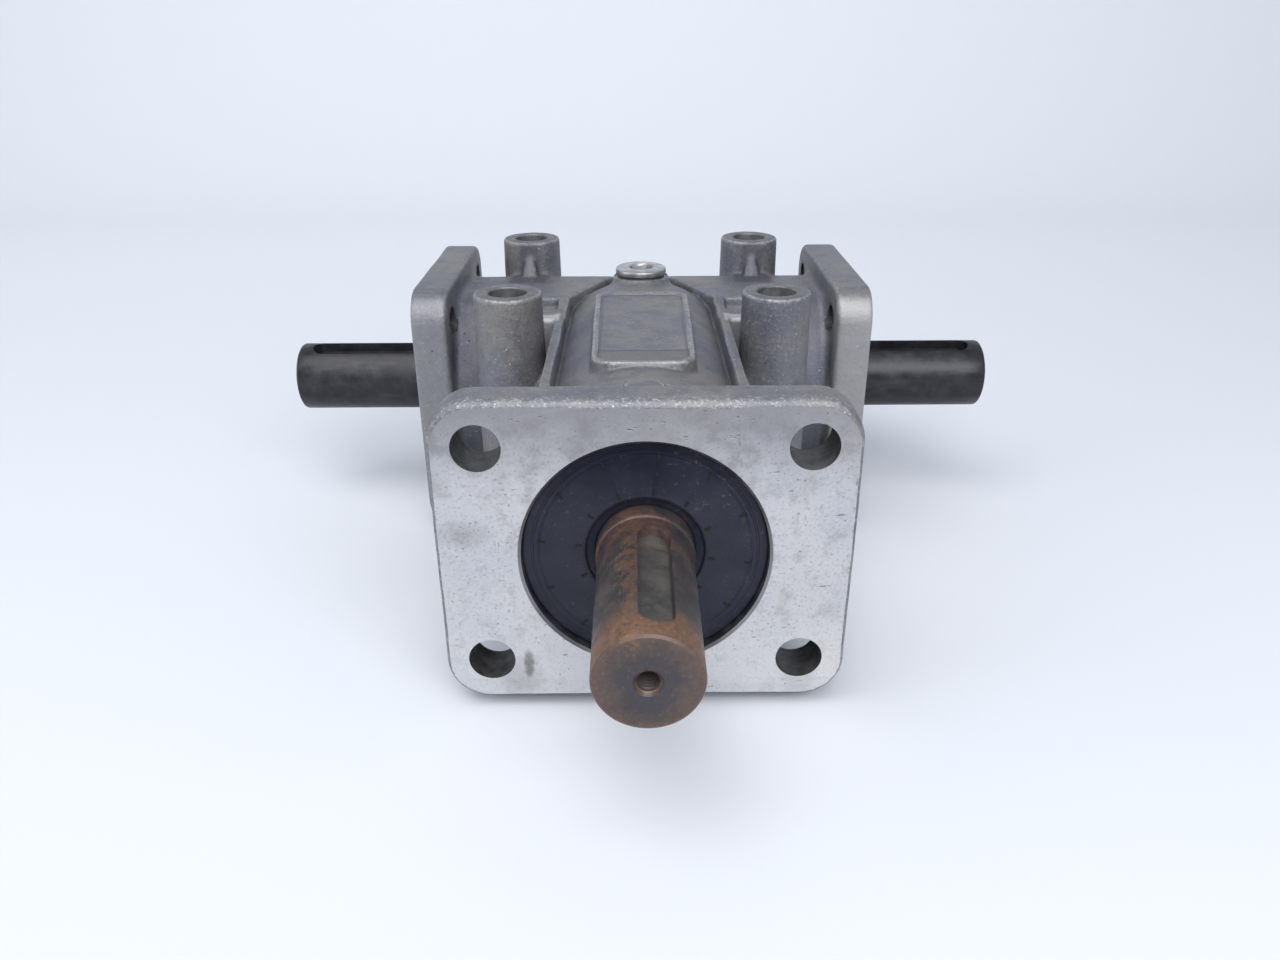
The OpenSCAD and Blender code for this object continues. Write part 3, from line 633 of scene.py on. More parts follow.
CAST = cast_material()
WORN = steel("worn_post_faces", tone=0.135, rough=0.48, tint=(1.0, 1.0, 1.02), mm=1.6, metal=0.62,
             vary=0.22)
# darker than the post holes: painted shade inside the bolt holes
DRILL = steel("drilled_holes", tone=0.060, rough=0.52, tint=(1.0, 0.98, 0.98), mm=1.3, metal=0.4,
              vary=0.45)
HOLE = steel("post_holes", tone=0.15, rough=0.50, tint=(0.98, 0.99, 1.03), mm=1.3, metal=0.5,
             vary=0.3)
MILLED = milled_material()
RUST = rust_material()
DARK = dark_shaft_material()
RUBBER = rubber_material()
MARK = steel("seal_rubber_marks", tone=0.0025, rough=0.75, tint=(0.9, 0.95, 1.2), mm=1.2,
             metal=0.0, vary=0.1)
PLUG = steel("worn_zinc_steel", tone=0.42, rough=0.36, tint=(1.0, 0.99, 0.985), mm=1.2, metal=0.9)
WASHER = steel("washer_metal", tone=0.30, rough=0.42, mm=1.4)
BORE = turned("bored_aluminium", tone=0.36, rough=0.34, axis="Y", tint=(1.0, 1.0, 1.02))
SPRING = steel("dark_spring_steel", tone=0.14, rough=0.38, tint=(0.95, 0.97, 1.05), mm=1.2)
RACE = turned("bearing_steel", tone=0.62, rough=0.20, axis="Y")
RACE_X = turned("bearing_steel_side", tone=0.62, rough=0.20, axis="X")
BALL = steel("ball_steel", tone=0.72, rough=0.09, tint=(1, 1, 1.01), mm=3.0, vary=0.04)
BRASS = steel("cage_brass", tone=0.55, rough=0.28, tint=(1.0, 0.74, 0.36), mm=1.8, vary=0.12)
GEAR = steel("gear_steel", tone=0.40, rough=0.30, tint=(1.0, 0.99, 0.97), mm=1.6, vary=0.15)
KEY = steel("drawn_key_steel", tone=0.50, rough=0.30, mm=1.6, vary=0.12)

# =============================================================================================
# Housing: one casting. Its body is a blended distance field, so that every junction has a cast
# fillet. The faces and bores are then cut crisply, as on a milling machine
# =============================================================================================
GRID = 0.7  # grid step, mm
REGION_MARGIN = 6  # how far round a part the field is worked out, mm
CORNERS = list(product((0, 1), repeat=3))


def smooth_min(a, b, blend):
    h = np.maximum(blend - np.abs(a - b), 0.0) / blend
    return np.minimum(a, b) - h * h * blend * 0.25


def smooth_max(a, b, blend):
    return -smooth_min(-a, -b, blend)


def overlap(*distances):
    """Distance to what several solids share."""
    return reduce(np.maximum, distances)


def radial(a, b):
    return np.sqrt(a * a + b * b)


def corner(a, b):
    """Distance to the quadrant where a and b are both negative, exact outside."""
    outside = np.sqrt(np.maximum(a, 0) ** 2 + np.maximum(b, 0) ** 2)
    return np.minimum(np.maximum(a, b), 0) + outside


def rounded_box(position, center, half, edge):
    qx, qy, qz = (np.abs(p - c) - (h - edge) for p, c, h in zip(position, center, half))
    outside = np.sqrt(np.maximum(qx, 0) ** 2 + np.maximum(qy, 0) ** 2 + np.maximum(qz, 0) ** 2)
    return outside + np.minimum(overlap(qx, qy, qz), 0) - edge


def rectangle(u, v, width, height, radius):
    return corner(np.abs(u) - (width / 2 - radius), np.abs(v) - (height / 2 - radius)) - radius


def plate(outline, w, half, edge):
    """An outline made into a plate from w = -half to half, with rounded edges."""
    return corner(outline + edge, np.abs(w) - half + edge) - edge


class CastField:
    """Distance to the casting on a grid, negative inside. Only x >= 0 is held until mirror()."""

    def __init__(self):
        self.xs = (np.arange(int(78 / GRID) + 2) * GRID).astype(np.float32)
        self.ys = np.arange(-140, 46, GRID).astype(np.float32)
        self.zs = np.arange(-47, 47 + GRID, GRID).astype(np.float32)
        shape = (len(self.xs), len(self.ys), len(self.zs))
        self.values = np.full(shape, 1e3, np.float32)

    def region(self, x0, x1, y0, y1, z0=-99, z1=99):
        """The grid slices round a block, and the x, y and z values there."""
        i, j, k = (
            slice(max(0, np.searchsorted(axis, low - REGION_MARGIN)),
                  np.searchsorted(axis, high + REGION_MARGIN))
            for axis, low, high in ((self.xs, x0, x1), (self.ys, y0, y1), (self.zs, z0, z1)))
        return ((i, j, k), self.xs[i][:, None, None], self.ys[j][None, :, None],
                self.zs[k][None, None, :])

    def add(self, where, distance, fillet):
        self.values[where] = smooth_min(self.values[where], distance, fillet)

    def mirror(self):
        self.values = np.concatenate([self.values[:0:-1], self.values], 0)
        self.xs = np.concatenate([-self.xs[:0:-1], self.xs])


def add_barrel(field):
    """Barrel round the cross shaft with its flats, less the pockets beside the neck."""
    where, x, y, z = field.region(0, 66, -38, 38)
    r = radial(y, z)
    distance = smooth_max(r - 37.2, np.abs(z) - 33.2, 1.5)
    # valley between the flat and the cross web
    valley = overlap(34 - r, y + 15.0, -26.4 - y, 28.0 - x, x - 40)
    distance = smooth_max(distance, -valley, 1.3)
    distance = smooth_max(distance, x - 66, 0.5)
    pocket = overlap(x - 25.2, 0.898 * (x - 14.7) + 0.440 * (y - 7.0), 12 - np.abs(z))
    distance = smooth_max(distance, -pocket, 1.2)
    field.values[where] = np.minimum(field.values[where], distance)


def add_neck(field):
    """Neck round the front shaft, the bosses of the two plugs and the long side ribs."""
    where, x, y, z = field.region(0, 37, -128, 3)
    edge = 7
    distance = corner(radial(x, z) - 36.5 + edge, np.abs(y + 62.5) - 64.5 + edge) - edge
    field.add(where, distance, fillet=1.6)
    where, x, y, z = field.region(0, 11, -11, 11)
    field.add(where, overlap(radial(x, y) - 9.9, np.abs(z) - 37.3), fillet=3.0)
    # ribs thin out upward and downward
    where, x, y, z = field.region(22, 31, -127, -9)
    half_height = 32.5
    half_thickness = 1.5 + 0.02 * (half_height - np.abs(z))
    rib = smooth_max(np.abs(x - 26.7) - half_thickness, np.abs(z) - half_height, 0.9)
    field.add(where, smooth_max(rib, np.abs(y + 69) - 58, 0.9), fillet=1.7)


def add_posts(field):
    """Drafted foot posts, with the webs and gussets that hold them."""
    edge = 0.9
    for post_y in (FRONT_POST_Y, REAR_POST_Y):
        where, x, y, z = field.region(30, 53, post_y - 11, post_y + 11)
        radius = 10.5 + 0.012 * (45 - np.abs(z))
        side = radial(x - POST_X, y - post_y) - radius + edge
        field.add(where, corner(side, np.abs(z) - 45.08 + edge) - edge, fillet=2.4)
    # cross web from rib to front post, and the plates that tie the post to it
    where, *position = field.region(24, 45, -60, -20)
    for center, half, edge, fillet in (
        ((33.2, -31.8, 0), (8.2, 5.4, 32.3), 1.6, 1.5),
        ((POST_X, -43, 0), (3, 9, 22), 1.5, 3.0),
        ((34, -42, 0), (8, 11, 5), 2, 3.0),
    ):
        field.add(where, rounded_box(position, center, half, edge), fillet)
    # pointed gusset that leans on the rear post
    where, x, y, z = field.region(36, 47, 6, 20, 26, 44)
    top = 41.2
    below_top = np.maximum(top - z, 0)
    off_middle = np.abs(x - POST_X)
    gusset = overlap(
        (off_middle - 0.98 * np.sqrt(below_top)) * 0.9,
        (17.7 - 0.62 * below_top + 0.30 * off_middle - y) * 0.8,
        z - top, 28 - z, y - 20)
    field.add(where, gusset, fillet=1.0)


def add_flanges(field):
    where, x, y, z = field.region(60, 77, -43, 43)
    outline = rectangle(y, z, width=82.2, height=82.2, radius=10.5)
    field.add(where, plate(outline, x - 69.05, half=6.05, edge=1.6), fillet=3.2)
    # the front flange has a rounder upper edge
    where, x, y, z = field.region(0, 52, -139, -122)
    t = np.clip((z - 30) / 9, 0, 1)
    edge = 1.25 + 1.15 * t * t * (3 - 2 * t)
    outline = rectangle(x, z, width=103.6, height=83.6, radius=11)
    field.add(where, plate(outline, y + 131.05, half=6.08, edge=edge), fillet=3.4)


def add_panel(field):
    """Raised nameplate panel on top of the neck, a little narrower at the front, with a sunk
    plain floor, and a small round boss ahead of it."""
    where, x, y, z = field.region(0, 17, -99, -22, 30, 40)
    half_width = 15.4
    across = x * half_width / (half_width + 0.015 * (y + 24.4))
    along = y + 61.15
    outline = rectangle(across, along, width=2 * half_width, height=73.5, radius=6.5)
    field.add(where, plate(outline, z - 33.9, half=4.0, edge=0.6), fillet=1.0)
    recess = overlap(rectangle(across, along, width=26.6, height=69.3, radius=4.4), 37.1 - z)
    field.values[where] = smooth_max(field.values[where], -recess, 0.45)
    where, x, y, z = field.region(0, 7, -121, -106, 30, 40)
    boss = overlap(radial(x, y + 113.5) - 5.0, np.abs(z - 33.5) - 3.5)
    field.add(where, boss, fillet=0.8)


def undulate(field, amplitude, seed):
    """The field's values with a slight unevenness of the cast skin."""
    rng = np.random.default_rng(seed)
    x, y, z = field.xs[:, None, None], field.ys[None, :, None], field.zs[None, None, :]
    waves = np.zeros_like(field.values)
    for wavelength, weight in ((34, 1.0), (17, 0.7), (9, 0.45), (5.5, 0.3)):
        for _ in range(2):
            v = rng.normal(size=3)
            v *= 2 * math.pi / wavelength / np.linalg.norm(v)
            phase = rng.uniform(0, 6.28)
            wave = (np.sin(x * v[0] + phase) * np.cos(y * v[1] + 1.7 * phase)
                    * np.cos(z * v[2] + 0.6 * phase))
            waves += weight * wave.astype(np.float32)
    return field.values + amplitude * waves


def net_points(values, cells):
    """One point per cell: the mean of where the surface crosses the cell's edges."""
    at_corner = {c: values[tuple((cells + c).T)] for c in CORNERS}
    total, crossings = np.zeros((len(cells), 3)), np.zeros(len(cells))
    for axis in range(3):
        others = [q for q in range(3) if q != axis]
        for u, v in product((0, 1), repeat=2):
            start = [0, 0, 0]
            start[others[0]], start[others[1]] = u, v
            end = list(start)
            end[axis] = 1
            a, b = at_corner[tuple(start)], at_corner[tuple(end)]
            crossed = (a < 0) != (b < 0)
            point = np.tile(np.array(start, float), (len(cells), 1))
            point[:, axis] = np.where(crossed, a / np.where(crossed, a - b, 1), 0)
            total[crossed] += point[crossed]
            crossings[crossed] += 1
    return cells + total / crossings[:, None]


def surface_nets(values):
    """Points and quads over the zero level of a grid, in grid units."""
    nx, ny, nz = values.shape
    inside = values < 0
    count = np.zeros((nx - 1, ny - 1, nz - 1), np.uint8)
    for a, b, c in CORNERS:
        count += inside[a : nx - 1 + a, b : ny - 1 + b, c : nz - 1 + c]
    active = (count > 0) & (count < 8)
    cells = np.argwhere(active)
    number = -np.ones(active.shape, np.int64)
    number[active] = np.arange(len(cells))
    quads = []
    for axis in range(3):
        first, second = [slice(None)] * 3, [slice(None)] * 3
        first[axis], second[axis] = slice(0, -1), slice(1, None)
        a, b = inside[tuple(first)], inside[tuple(second)]
        u, v = (axis + 1) % 3, (axis + 2) % 3
        edges = np.argwhere(a != b)
        within = (edges[:, u] > 0) & (edges[:, v] > 0)
        within &= (edges[:, u] < values.shape[u] - 1) & (edges[:, v] < values.shape[v] - 1)
        edges = edges[within]
        leaving = a[tuple(edges.T)]
        ring = []
        for du, dv in ((-1, -1), (0, -1), (0, 0), (-1, 0)):
            cell = edges.copy()
            cell[:, u] += du
            cell[:, v] += dv
            ring.append(number[tuple(cell.T)])
        quad = np.stack(ring, 1)
        quad[~leaving] = quad[~leaving][:, ::-1]
        quads.append(quad)
    return net_points(values, cells), np.concatenate(quads)


def sample(values, points):
    """Trilinear value of a grid at points in grid units."""
    base = np.clip(np.floor(points).astype(int), 0, np.array(values.shape) - 2)
    f = np.clip(points - base, 0, 1)
    result = 0
    for c in CORNERS:
        wx, wy, wz = (f[:, k] if c[k] else 1 - f[:, k] for k in range(3))
        result = result + wx * wy * wz * values[tuple((base + c).T)]
    return result


def skin_object(values, origin):
    """The thinned mesh of the casting's skin."""
    points, quads = surface_nets(values)
    # draw the points onto the surface
    for _ in range(2):
        slope = np.stack([sample(values, points + e * 0.5) - sample(values, points - e * 0.5)
                          for e in np.eye(3)], 1)
        reach = sample(values, points) / ((slope**2).sum(1) + 1e-9)
        points = points - np.clip(reach, -0.5, 0.5)[:, None] * slope
    co = (origin + points * GRID) * MM + CENTER
    mesh = bpy.data.meshes.new("housing_cast")
    mesh.vertices.add(len(co))
    mesh.vertices.foreach_set("co", co.astype(np.float32).ravel())
    mesh.loops.add(len(quads) * 4)
    mesh.loops.foreach_set("vertex_index", quads.astype(np.int32).ravel())
    mesh.polygons.add(len(quads))
    mesh.polygons.foreach_set("loop_start", np.arange(0, len(quads) * 4, 4, dtype=np.int32))
    mesh.update(calc_edges=True)
    mesh.validate()
    ob = bpy.data.objects.new("housing_cast", mesh)
    bpy.context.scene.collection.objects.link(ob)
    thin = ob.modifiers.new("thin", "DECIMATE")
    thin.ratio = 0.30
    bake(ob, thin)
    return ob


def mill_faces(ob):
    """Front flange, side flanges, post ends and plug seats."""
    depth = 10  # half thickness of the cutting blocks
    front, side, foot = FRONT_FACE + depth, SIDE_FACE + depth, FOOT_FACE + depth
    cut(ob, box((0, -front, 0), (70, depth, 60)))
    cut(ob, join([box((side * s, 0, 0), (depth, 60, 60)) for s in (1, -1)]))
    cut(ob, join([box((0, 0, foot * s), (70, 100, depth)) for s in (1, -1)]))
    cut(ob, up_and_down(lathe([(0, PLUG_SEAT), (9.3, PLUG_SEAT), (9.3, 40), (0, 40)], 96)))


def ring_groove(bore, start, end):
    """Profile of a groove round a bore, 1.5 deep, with 0.05 play at each end."""
    start, end = start - 0.05, end + 0.05
    return [(bore, start), (bore + 1.5, start), (bore + 1.5, end), (bore, end)]


def bore_out(ob):
    chamber = 28.5
    # front bore with its bearing shoulder, ring groove and chamfered mouth
    front = [(0, 0), (chamber, 0), (chamber, 12), (31.5, 12), (31.5, 40), (chamber, 40),
             (chamber, 45), (FRONT_BORE, 45)]
    front += ring_groove(FRONT_BORE, 121.2, 123.2)
    front += [(FRONT_BORE, FRONT_FACE - 0.7), (FRONT_BORE + 0.7, FRONT_FACE),
              (FRONT_BORE + 0.7, FRONT_FACE + 2), (0, FRONT_FACE + 2)]
    cut(ob, lay(lathe(front, 160), "front"))
    # cross bore right through, with its inner ribs, grooves and mouths
    half = [(chamber, 41.9), (23.5, 41.9), (23.5, 43.9), (SIDE_BORE, 43.9)]
    half += ring_groove(SIDE_BORE, 58.9, 60.9)
    half += [(SIDE_BORE, SIDE_FACE - 0.7), (SIDE_BORE + 0.7, SIDE_FACE),
             (SIDE_BORE + 0.7, SIDE_FACE + 2.5), (0, SIDE_FACE + 2.5)]
    cut(ob, lay(lathe(mirrored(half) + half, 160), "right"))


def drill_holes(ob):
    """Bolt holes, post holes and plug holes, with slightly broken edges."""
    signs = list(product((-1, 1), repeat=2))
    bolt = hole_rod(6.0, 118, 138.2, 64, chamfer=0.25)
    cut(ob, join([lay(move(bolt, (40 * a, 30 * b, 0)), "front") for a, b in signs]))
    bolt = hole_rod(4.25, 60, 75.7, 48, chamfer=0.25)
    cut(ob, join([lay(move(bolt, (30 * a, 30 * b, 0)), way)
                  for way in ("left", "right") for a, b in signs]))
    # front posts are drilled through, rear posts are blind from both ends
    mouth = [(6, 44.6), (6.35, FOOT_FACE), (6.35, 47), (0, 47)]
    blind = lathe([(0, 19.5), (5.9, 23.0), (6, 23.2)] + mouth, 64)
    through = lathe(mirrored(mouth) + mouth, 64)
    holes = []
    for a in (-1, 1):
        holes.append(move(through, (POST_X * a, FRONT_POST_Y, 0)))
        for way in ("up", "down"):
            holes.append(move(lay(blind, way), (POST_X * a, REAR_POST_Y, 0)))
    cut(ob, join(holes))
    cut(ob, up_and_down(hole_rod(7.0, 24, 37.6, 64, chamfer=0.3)))


def assign_finishes(ob):
    """Gives each face its finish from where it lies. What nothing claims stays as cast."""
    polygons = ob.data.polygons
    x, y, z = to_mm(read_vectors(polygons, "center")).T
    nx, ny, nz = read_vectors(polygons, "normal").T
    slots = list(ob.data.materials)
    index = np.zeros(len(polygons), np.int32)

    def claim(mask, material):
        index[mask & (index == 0)] = slots.index(material)

    def near(values, target, tolerance=0.02):
        return np.abs(values - target) < tolerance

    across, height = np.abs(x), np.abs(z)
    claim(near(y, -FRONT_FACE) & (ny < -0.9), MILLED)
    claim(near(across, SIDE_FACE) & (np.abs(nx) > 0.9), MILLED)
    claim(near(height, FOOT_FACE) & (np.abs(nz) > 0.9), WORN)
    claim(near(height, PLUG_SEAT, 0.03) & (np.abs(nz) > 0.9) & (np.hypot(x, y) < 9.4), MILLED)
    # bores: near the axis and not facing away from it
    claim((y < -1) & (y > -FRONT_FACE - 0.02) & (np.hypot(x, z) < 33)
          & (nx * x + nz * z < 0.5), BORE)
    claim((across < SIDE_FACE + 0.02) & (np.hypot(y, z) < 28.7) & (ny * y + nz * z < 0.5), BORE)
    claim((np.hypot(across - 40, height - 30) < 6.3) & (y < -124), DRILL)
    for post_y in (FRONT_POST_Y, REAR_POST_Y):
        claim(np.hypot(across - POST_X, y - post_y) < 6.6, HOLE)
    claim((np.hypot(np.abs(y) - 30, height - 30) < 4.8) & (across > 62), DRILL)
    polygons.foreach_set("material_index", index)


def curvature(ob, values, origin):
    """Curvature of the cast skin at each vertex, for wear, painted highlights and glints on the
    edges, and painted shade in the hollows.
    """
    points = (to_mm(read_vectors(ob.data.vertices, "co")) - origin) / GRID
    reach = 1.6  # grid steps
    around = sum(sample(values, points + e * reach) + sample(values, points - e * reach)
                 for e in np.eye(3))
    return (around - 6 * sample(values, points)) / (reach * reach * GRID)


def build_housing():
    field = CastField()
    for add_part in (add_barrel, add_neck, add_posts, add_flanges, add_panel):
        add_part(field)
    field.mirror()
    origin = np.array([field.xs[0], field.ys[0], field.zs[0]])
    ob = skin_object(undulate(field, amplitude=0.045, seed=7), origin)
    for material in (CAST, MILLED, BORE, WORN, DRILL, HOLE):
        ob.data.materials.append(material)
    mill_faces(ob)
    bore_out(ob)
    drill_holes(ob)
    assign_finishes(ob)
    add_float(ob, "curv", curvature(ob, field.values, origin))
    # zero everywhere, and not read by the materials here
    add_float(ob, "rim", np.zeros(len(ob.data.vertices)))
    ob.name = "housing_casting"
    ob.data.name = "housing_casting"
    shade(ob, 32)
    return ob


register(build_housing(), "gearbox", "housing")

# =============================================================================================
# Shafts
# =============================================================================================
JOURNAL, STUB = 12.5, 12.0  # radii inside the housing and outside it
INPUT_TIP, CROSS_TIP = 187.0, 125.0
KEY_WIDTH = 8


def keyway_tool(length, middle, floor, turn, steps=24):
    """Round-ended slot along Z, cut inward from +X down to the radius floor, then turned
    about Z by turn degrees."""
    half = (length - KEY_WIDTH) / 2
    round_radius = KEY_WIDTH / 2
    outline = []
    for center, start in ((half, 0), (-half, math.pi)):
        for i in range(steps + 1):
            a = start + math.pi * i / steps
            outline.append((center + round_radius * math.sin(a), round_radius * math.cos(a)))
    verts, faces = prism(outline, floor, 20)
    # the prism's x runs along the shaft and its z is radial
    verts = np.stack([verts[:, 2], verts[:, 1], verts[:, 0] + middle], 1)
    c, s = math.cos(math.radians(turn)), math.sin(math.radians(turn))
    return outward(verts @ np.array([[c, -s, 0], [s, c, 0], [0, 0, 1]]).T, faces)


def center_hole_tool(tip, sign):
    """Tapped centre hole in the end at sign * tip: a drilled core, thread turns as shallow
    grooves, and a countersunk mouth."""
    start = tip - 15.2
    profile = [(0, tip - 16.6), (2.3, start)]
    for i in range(14):
        z = start + i
        profile += [(2.5, z + 0.05), (2.82, z + 0.5), (2.5, z + 0.95)]
    profile += [(2.5, tip - 0.8), (3.3, tip), (3.3, tip + 1), (0, tip + 1)]
    return lathe([(r, sign * z) for r, z in profile], 48)


def shaft_groove(start, end):
    return [(JOURNAL, start), (11.95, start), (11.95, end), (JOURNAL, end)]


def stub(start, tip, step):
    """Profile of a stub with evenly spaced rings and a rounded end."""
    end = tip - 1.0
    count = max(1, int((end - start) / step))
    rings = [(STUB, start + (end - start) * i / count) for i in range(1, count)]
    return [(STUB, start), *rings, (STUB, end), (11.75, tip - 0.45), (11.1, tip), (0, tip)]


def build_shaft(name, profile, way, keyways, tip, ends, material):
    """A keyway is: length, middle, floor radius, turn in degrees."""
    ob = new_object(name, lay(lathe(profile, 144), way), [material])
    for keyway in keyways:
        cut(ob, lay(keyway_tool(*keyway), way))
    for sign in ends:
        cut(ob, lay(center_hole_tool(tip, sign), way))
    soften(ob, 0.18)
    shade(ob)
    return ob


input_profile = [(0, 17), (11.3, 17), (12.1, 17.35), (JOURNAL, 18.2)]
input_profile += shaft_groove(20.0, 21.2) + shaft_groove(121.25, 122.45)
input_profile += [(JOURNAL, FRONT_FACE), (12.35, 137.35)] + stub(137.7, INPUT_TIP, step=4)
input_shaft = build_shaft(
    "input_shaft_rusted", input_profile, "front",
    [(40, INPUT_TIP - 25, 8.0, 90 - 9.6), (14.2, 29.2, 9.4, 90)], INPUT_TIP, (1,), RUST)
# zero everywhere, and not read by the materials here
add_float(input_shaft, "bare", np.zeros(len(input_shaft.data.vertices)))
register(input_shaft, "input", "input_shaft")

cross_end = [(JOURNAL, SIDE_FACE), (12.35, 74.8)] + stub(75.2, CROSS_TIP, step=6)
cross_middle = shaft_groove(-43.9, -42.7) + shaft_groove(20.0, 21.2)
cross_keyway = CROSS_TIP - 25.5
cross_shaft = build_shaft(
    "cross_shaft_dark", mirrored(cross_end) + cross_middle + cross_end, "right",
    [(41, cross_keyway, 8.0, 190.4), (41, -cross_keyway, 8.0, 190.4), (14.2, 29.2, 9.4, 180)],
    CROSS_TIP, (1, -1), DARK)
register(cross_shaft, "output", "cross_shaft")

# =============================================================================================
# Seals
# =============================================================================================


def seal_profile(outer):
    """(radius, height) points, with height 0 at the outer face of the seal."""
    return [
        # rim and back
        (outer - 0.55, 0.0), (outer - 0.15, -0.25), (outer - 0.01, -0.7), (outer - 0.01, -9.2),
        (outer - 0.8, -10), (outer - 2.6, -10), (outer - 2.8, -9.7), (outer - 2.8, -2.3),
        (outer - 3.2, -1.95),
        # inside of the seal and its two lips on the shaft
        (17.6, -1.95), (16.4, -2.9), (16.1, -6.2), (16.9, -8.4), (14.4, -8.6), (13.0, -7.2),
        (12.56, -6.0), (13.5, -4.4), (13.5, -2.6), (12.56, -1.75), (12.7, -1.45), (13.3, -1.2),
        (14.3, -1.05), (14.75, -0.8), (14.95, -0.25), (15.15, 0.0), (15.7, 0.12), (16.1, 0.0),
        # two fine steps in the face near the rim
        (outer - 4.5, 0.0), (outer - 4.35, -0.14), (outer - 4.05, -0.14), (outer - 3.9, 0.0),
        (outer - 3.0, 0.0), (outer - 2.85, -0.2), (outer - 2.4, -0.2), (outer - 2.2, 0.0),
    ]


def seal_mark(inner, outer, degrees):
    """A short raised radial bar, a little smaller at its top."""
    c, s = math.cos(math.radians(degrees)), math.sin(math.radians(degrees))
    foot = [(inner, -0.36), (outer, -0.40), (outer, 0.40), (inner, 0.36)]
    top = [(inner + 0.1, -0.30), (outer - 0.1, -0.34), (outer - 0.1, 0.34), (inner + 0.1, 0.30)]
    verts = [(x * c - y * s, x * s + y * c, z)
             for outline, z in ((foot, -0.3), (top, 0.16)) for x, y in outline]
    faces = [(0, 1, 5, 4), (1, 2, 6, 5), (2, 3, 7, 6), (3, 0, 4, 7), (4, 5, 6, 7), (3, 2, 1, 0)]
    return outward(verts, faces)


def build_seal(name, outer, way, housing_face, turn):
    """A seal sunk 3.3 below the housing's face, with its marks turned by turn degrees."""
    face = housing_face - 3.3
    body = move(lathe(seal_profile(outer), 160, closed=True), (0, 0, face))
    ob = new_object(name, lay(body, way), [RUBBER, MARK])
    marks = join([seal_mark(r0, r1, 23 + 30 * i + turn) for i in range(12)
                  for r0, r1 in ((outer - 5.8, outer - 3.75), (15.9, 17.7))])
    cut(ob, lay(move(marks, (0, 0, face)), way), "UNION")
    # the tops of the marks take the second material
    x, y, z = (to_mm(read_vectors(ob.data.polygons, "center")) @ ALONG[way]).T
    r = np.hypot(x, y)
    on_marks = ((r > outer - 5.9) & (r < outer - 3.6)) | ((r > 16.15) & (r < 17.8))
    raised = (z > face + 0.04) & on_marks
    ob.data.polygons.foreach_set("material_index", raised.astype(np.int32))
    shade(ob, 28)
    return ob


for name, outer, way, housing_face, turn in (
    ("input_seal", FRONT_BORE, "front", FRONT_FACE, 0),
    ("left_seal", SIDE_BORE, "left", SIDE_FACE, 8),
    ("right_seal", SIDE_BORE, "right", SIDE_FACE, 21),
):
    seal = build_seal(name + "_rubber", outer, way, housing_face, turn)
    register(seal, "gearbox", name)

# =============================================================================================
# Plugs and washers
# =============================================================================================
PLUG_LIFT = (0, 0, 0.4)  # shift of the plug and washer profiles along their axis


def build_plug(name, way):
    profile = [(0, 28.6), (5.9, 28.6), (6.55, 29.3)]
    for i in range(4):
        z = 29.3 + 1.5 * i
        profile += [(6.25, z + 0.1), (6.95, z + 0.75), (6.95, z + 0.95)]
    profile += [(6.2, 36.2), (6.2, 37.62), (8.2, 37.62), (8.75, 37.8), (8.95, 38.2), (8.95, 39.1),
                (8.8, 39.6), (8.3, 39.92), (7.6, 40.0), (0, 40)]
    ob = new_object(name, lay(move(lathe(profile, 96), PLUG_LIFT), way), [PLUG])
    # hexagon socket with a chamfered mouth and a drilled centre
    angles = [math.radians(60 * i + 12) for i in range(6)]
    hexagon = prism([(4.62 * math.cos(a), 4.62 * math.sin(a)) for a in angles], 35.6, 42)
    mouth = lathe([(0, 39.75), (4.0, 39.75), (5.2, 40.9), (0, 40.9)], 64)
    drilled = lathe([(0, 34.0), (2.2, 35.2), (2.2, 36.4), (0, 36.4)], 48)
    for tool in (hexagon, mouth, drilled):
        cut(ob, lay(tool, way))
    soften(ob, 0.12)
    shade(ob)
    return ob


def build_washer(name, way):
    profile = [(7.05, 36.6), (7.15, 36.51), (8.1, 36.51), (8.3, 36.7), (8.3, 37.4), (8.1, 37.58),
               (7.15, 37.58), (7.05, 37.5)]
    ring = move(lathe(profile, 96, closed=True), PLUG_LIFT)
    ob = new_object(name, lay(ring, way), [WASHER])
    shade(ob)
    return ob


for name, way in (("filler", "up"), ("drain", "down")):
    plug = build_plug(name + "_plug_hex", way)
    register(plug, "gearbox", name + "_plug")
    washer = build_washer(name + "_washer_ring", way)
    register(washer, "gearbox", name + "_washer")

# =============================================================================================
# Inner pieces keep their CAD shape and take their finish here
# =============================================================================================


def dress(names, material):
    for name in names:
        materials = nodes[name].data.materials
        if not materials:
            materials.append(material)
        for i in range(len(materials)):
            materials[i] = material


for side, race in (("front", RACE), ("rear", RACE), ("left", RACE_X), ("right", RACE_X)):
    dress([side + "_bearing_outer", side + "_bearing_inner"], race)
    dress([side + "_bearing_balls"], BALL)
    dress([side + "_bearing_cage"], BRASS)
dress(("input_seal_spring", "left_seal_spring", "right_seal_spring", "input_bore_ring",
       "left_bore_ring", "right_bore_ring", "pinion_snap_ring", "gear_snap_ring",
       "input_shaft_ring", "left_shaft_ring"), SPRING)
dress(("input_pinion", "cross_gear"), GEAR)
dress(("pinion_key", "gear_key", "pinion_spacer", "gear_spacer", "pinion_shim", "gear_shim",
       "input_spacer_sleeve"), KEY)

# =============================================================================================
# Stage: pale floor and backdrop, soft light, camera. Lengths are metres unless marked
# =============================================================================================


def stage_material():
    g = Graph("stage_paper")
    y = g.axes()[1]
    # painted light: paler towards the back, where the wall stands in less lamp light
    tone = g.mix(g.band(y, 0.05, 0.60), (0.618, 0.636, 0.676), (0.742, 0.762, 0.798))
    return g.finish(tone, rough=0.75, metal=0.0, spec=0.2)


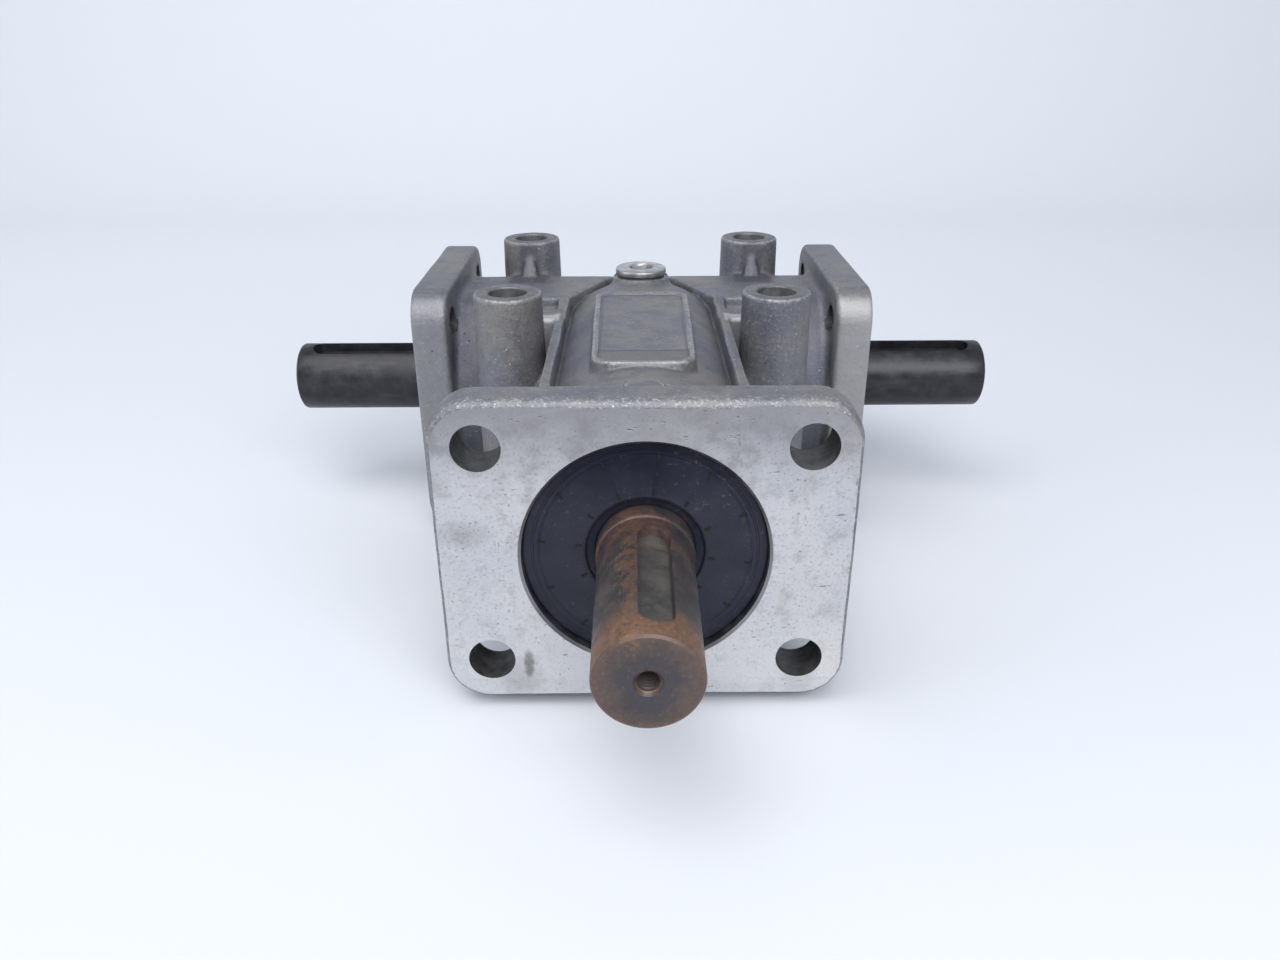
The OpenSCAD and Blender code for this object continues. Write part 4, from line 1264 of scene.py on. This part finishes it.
def build_backdrop():
    """A floor that curves up into a wall behind the gearbox."""
    floor_z = cad_low[2]
    reach = 3.0  # half width, extent forward and height
    bend_y, radius = 0.55, 0.35
    profile = [(-reach, 0.0)]  # y, height above the floor
    for i in range(13):
        a = math.pi / 2 * i / 12
        profile.append((bend_y + radius * math.sin(a), radius - radius * math.cos(a)))
    profile.append((bend_y + radius, reach))
    verts = [(x, y, floor_z + z) for y, z in profile for x in (-reach, reach)]
    faces = [(2 * i, 2 * i + 1, 2 * i + 3, 2 * i + 2) for i in range(len(profile) - 1)]
    mesh = bpy.data.meshes.new("stage_floor")
    mesh.from_pydata(verts, [], faces)
    mesh.update()
    mesh.materials.append(stage_material())
    mesh.polygons.foreach_set("use_smooth", np.ones(len(mesh.polygons), bool))
    ob = bpy.data.objects.new("stage_floor", mesh)
    bpy.context.scene.collection.objects.link(ob)


def area_light(name, at, target, size, energy, color):
    light = bpy.data.lights.new(name, "AREA")
    light.shape = "RECTANGLE"
    light.size, light.size_y = size
    light.energy = energy
    light.color = color
    ob = bpy.data.objects.new(name, light)
    ob.location = at
    ob.rotation_euler = (Vector(target) - Vector(at)).to_track_quat("-Z", "Y").to_euler()
    bpy.context.scene.collection.objects.link(ob)


def build_world():
    world = bpy.data.worlds.new("studio")
    world.use_nodes = True
    color, strength = world.node_tree.nodes["Background"].inputs[:2]
    color.default_value = (0.80, 0.87, 1.0, 1)
    strength.default_value = 0.46
    scene = bpy.context.scene
    scene.world = world
    scene.view_settings.view_transform = "Standard"
    scene.view_settings.look = "None"
    scene.view_settings.exposure = 0.0


def build_camera():
    """Stands in front and above, looking back and down."""
    data = bpy.data.cameras.new("view")
    data.sensor_fit = "HORIZONTAL"
    data.sensor_width = 36.0
    data.lens = 27.528
    data.clip_start = 0.01
    data.clip_end = 20
    camera = bpy.data.objects.new("view", data)
    bpy.context.scene.collection.objects.link(camera)
    pitch, yaw, roll = math.radians(25.62), math.radians(0.308), math.radians(-0.191)
    forward = Vector((math.sin(yaw) * math.cos(pitch), math.cos(yaw) * math.cos(pitch),
                      -math.sin(pitch)))
    level = Vector((math.cos(yaw), -math.sin(yaw), 0))
    upright = level.cross(forward)
    right = level * math.cos(roll) + upright * math.sin(roll)
    up = -level * math.sin(roll) + upright * math.cos(roll)
    place = CROSSING + Vector((-2.43, -347.457, 122.606)) * MM  # mm from the crossing
    rows = [(right[i], up[i], -forward[i], place[i]) for i in range(3)]
    camera.matrix_world = Matrix((*rows, (0, 0, 0, 1)))
    bpy.context.scene.camera = camera


build_backdrop()
area_light("key_top", at=(-0.22, -0.40, 1.10), target=(0, -0.02, 0.03), size=(1.1, 0.8),
           energy=8.5, color=(1.0, 0.99, 0.975))
area_light("fill_front", at=(0.28, -1.05, 0.85), target=(0, 0, 0.03), size=(1.3, 0.7),
           energy=14, color=(0.98, 0.985, 1.0))
area_light("fill_left", at=(-1.1, -0.3, 0.5), target=(0, 0, 0.04), size=(0.7, 0.9),
           energy=3.5, color=(0.92, 0.96, 1.0))
build_world()
build_camera()
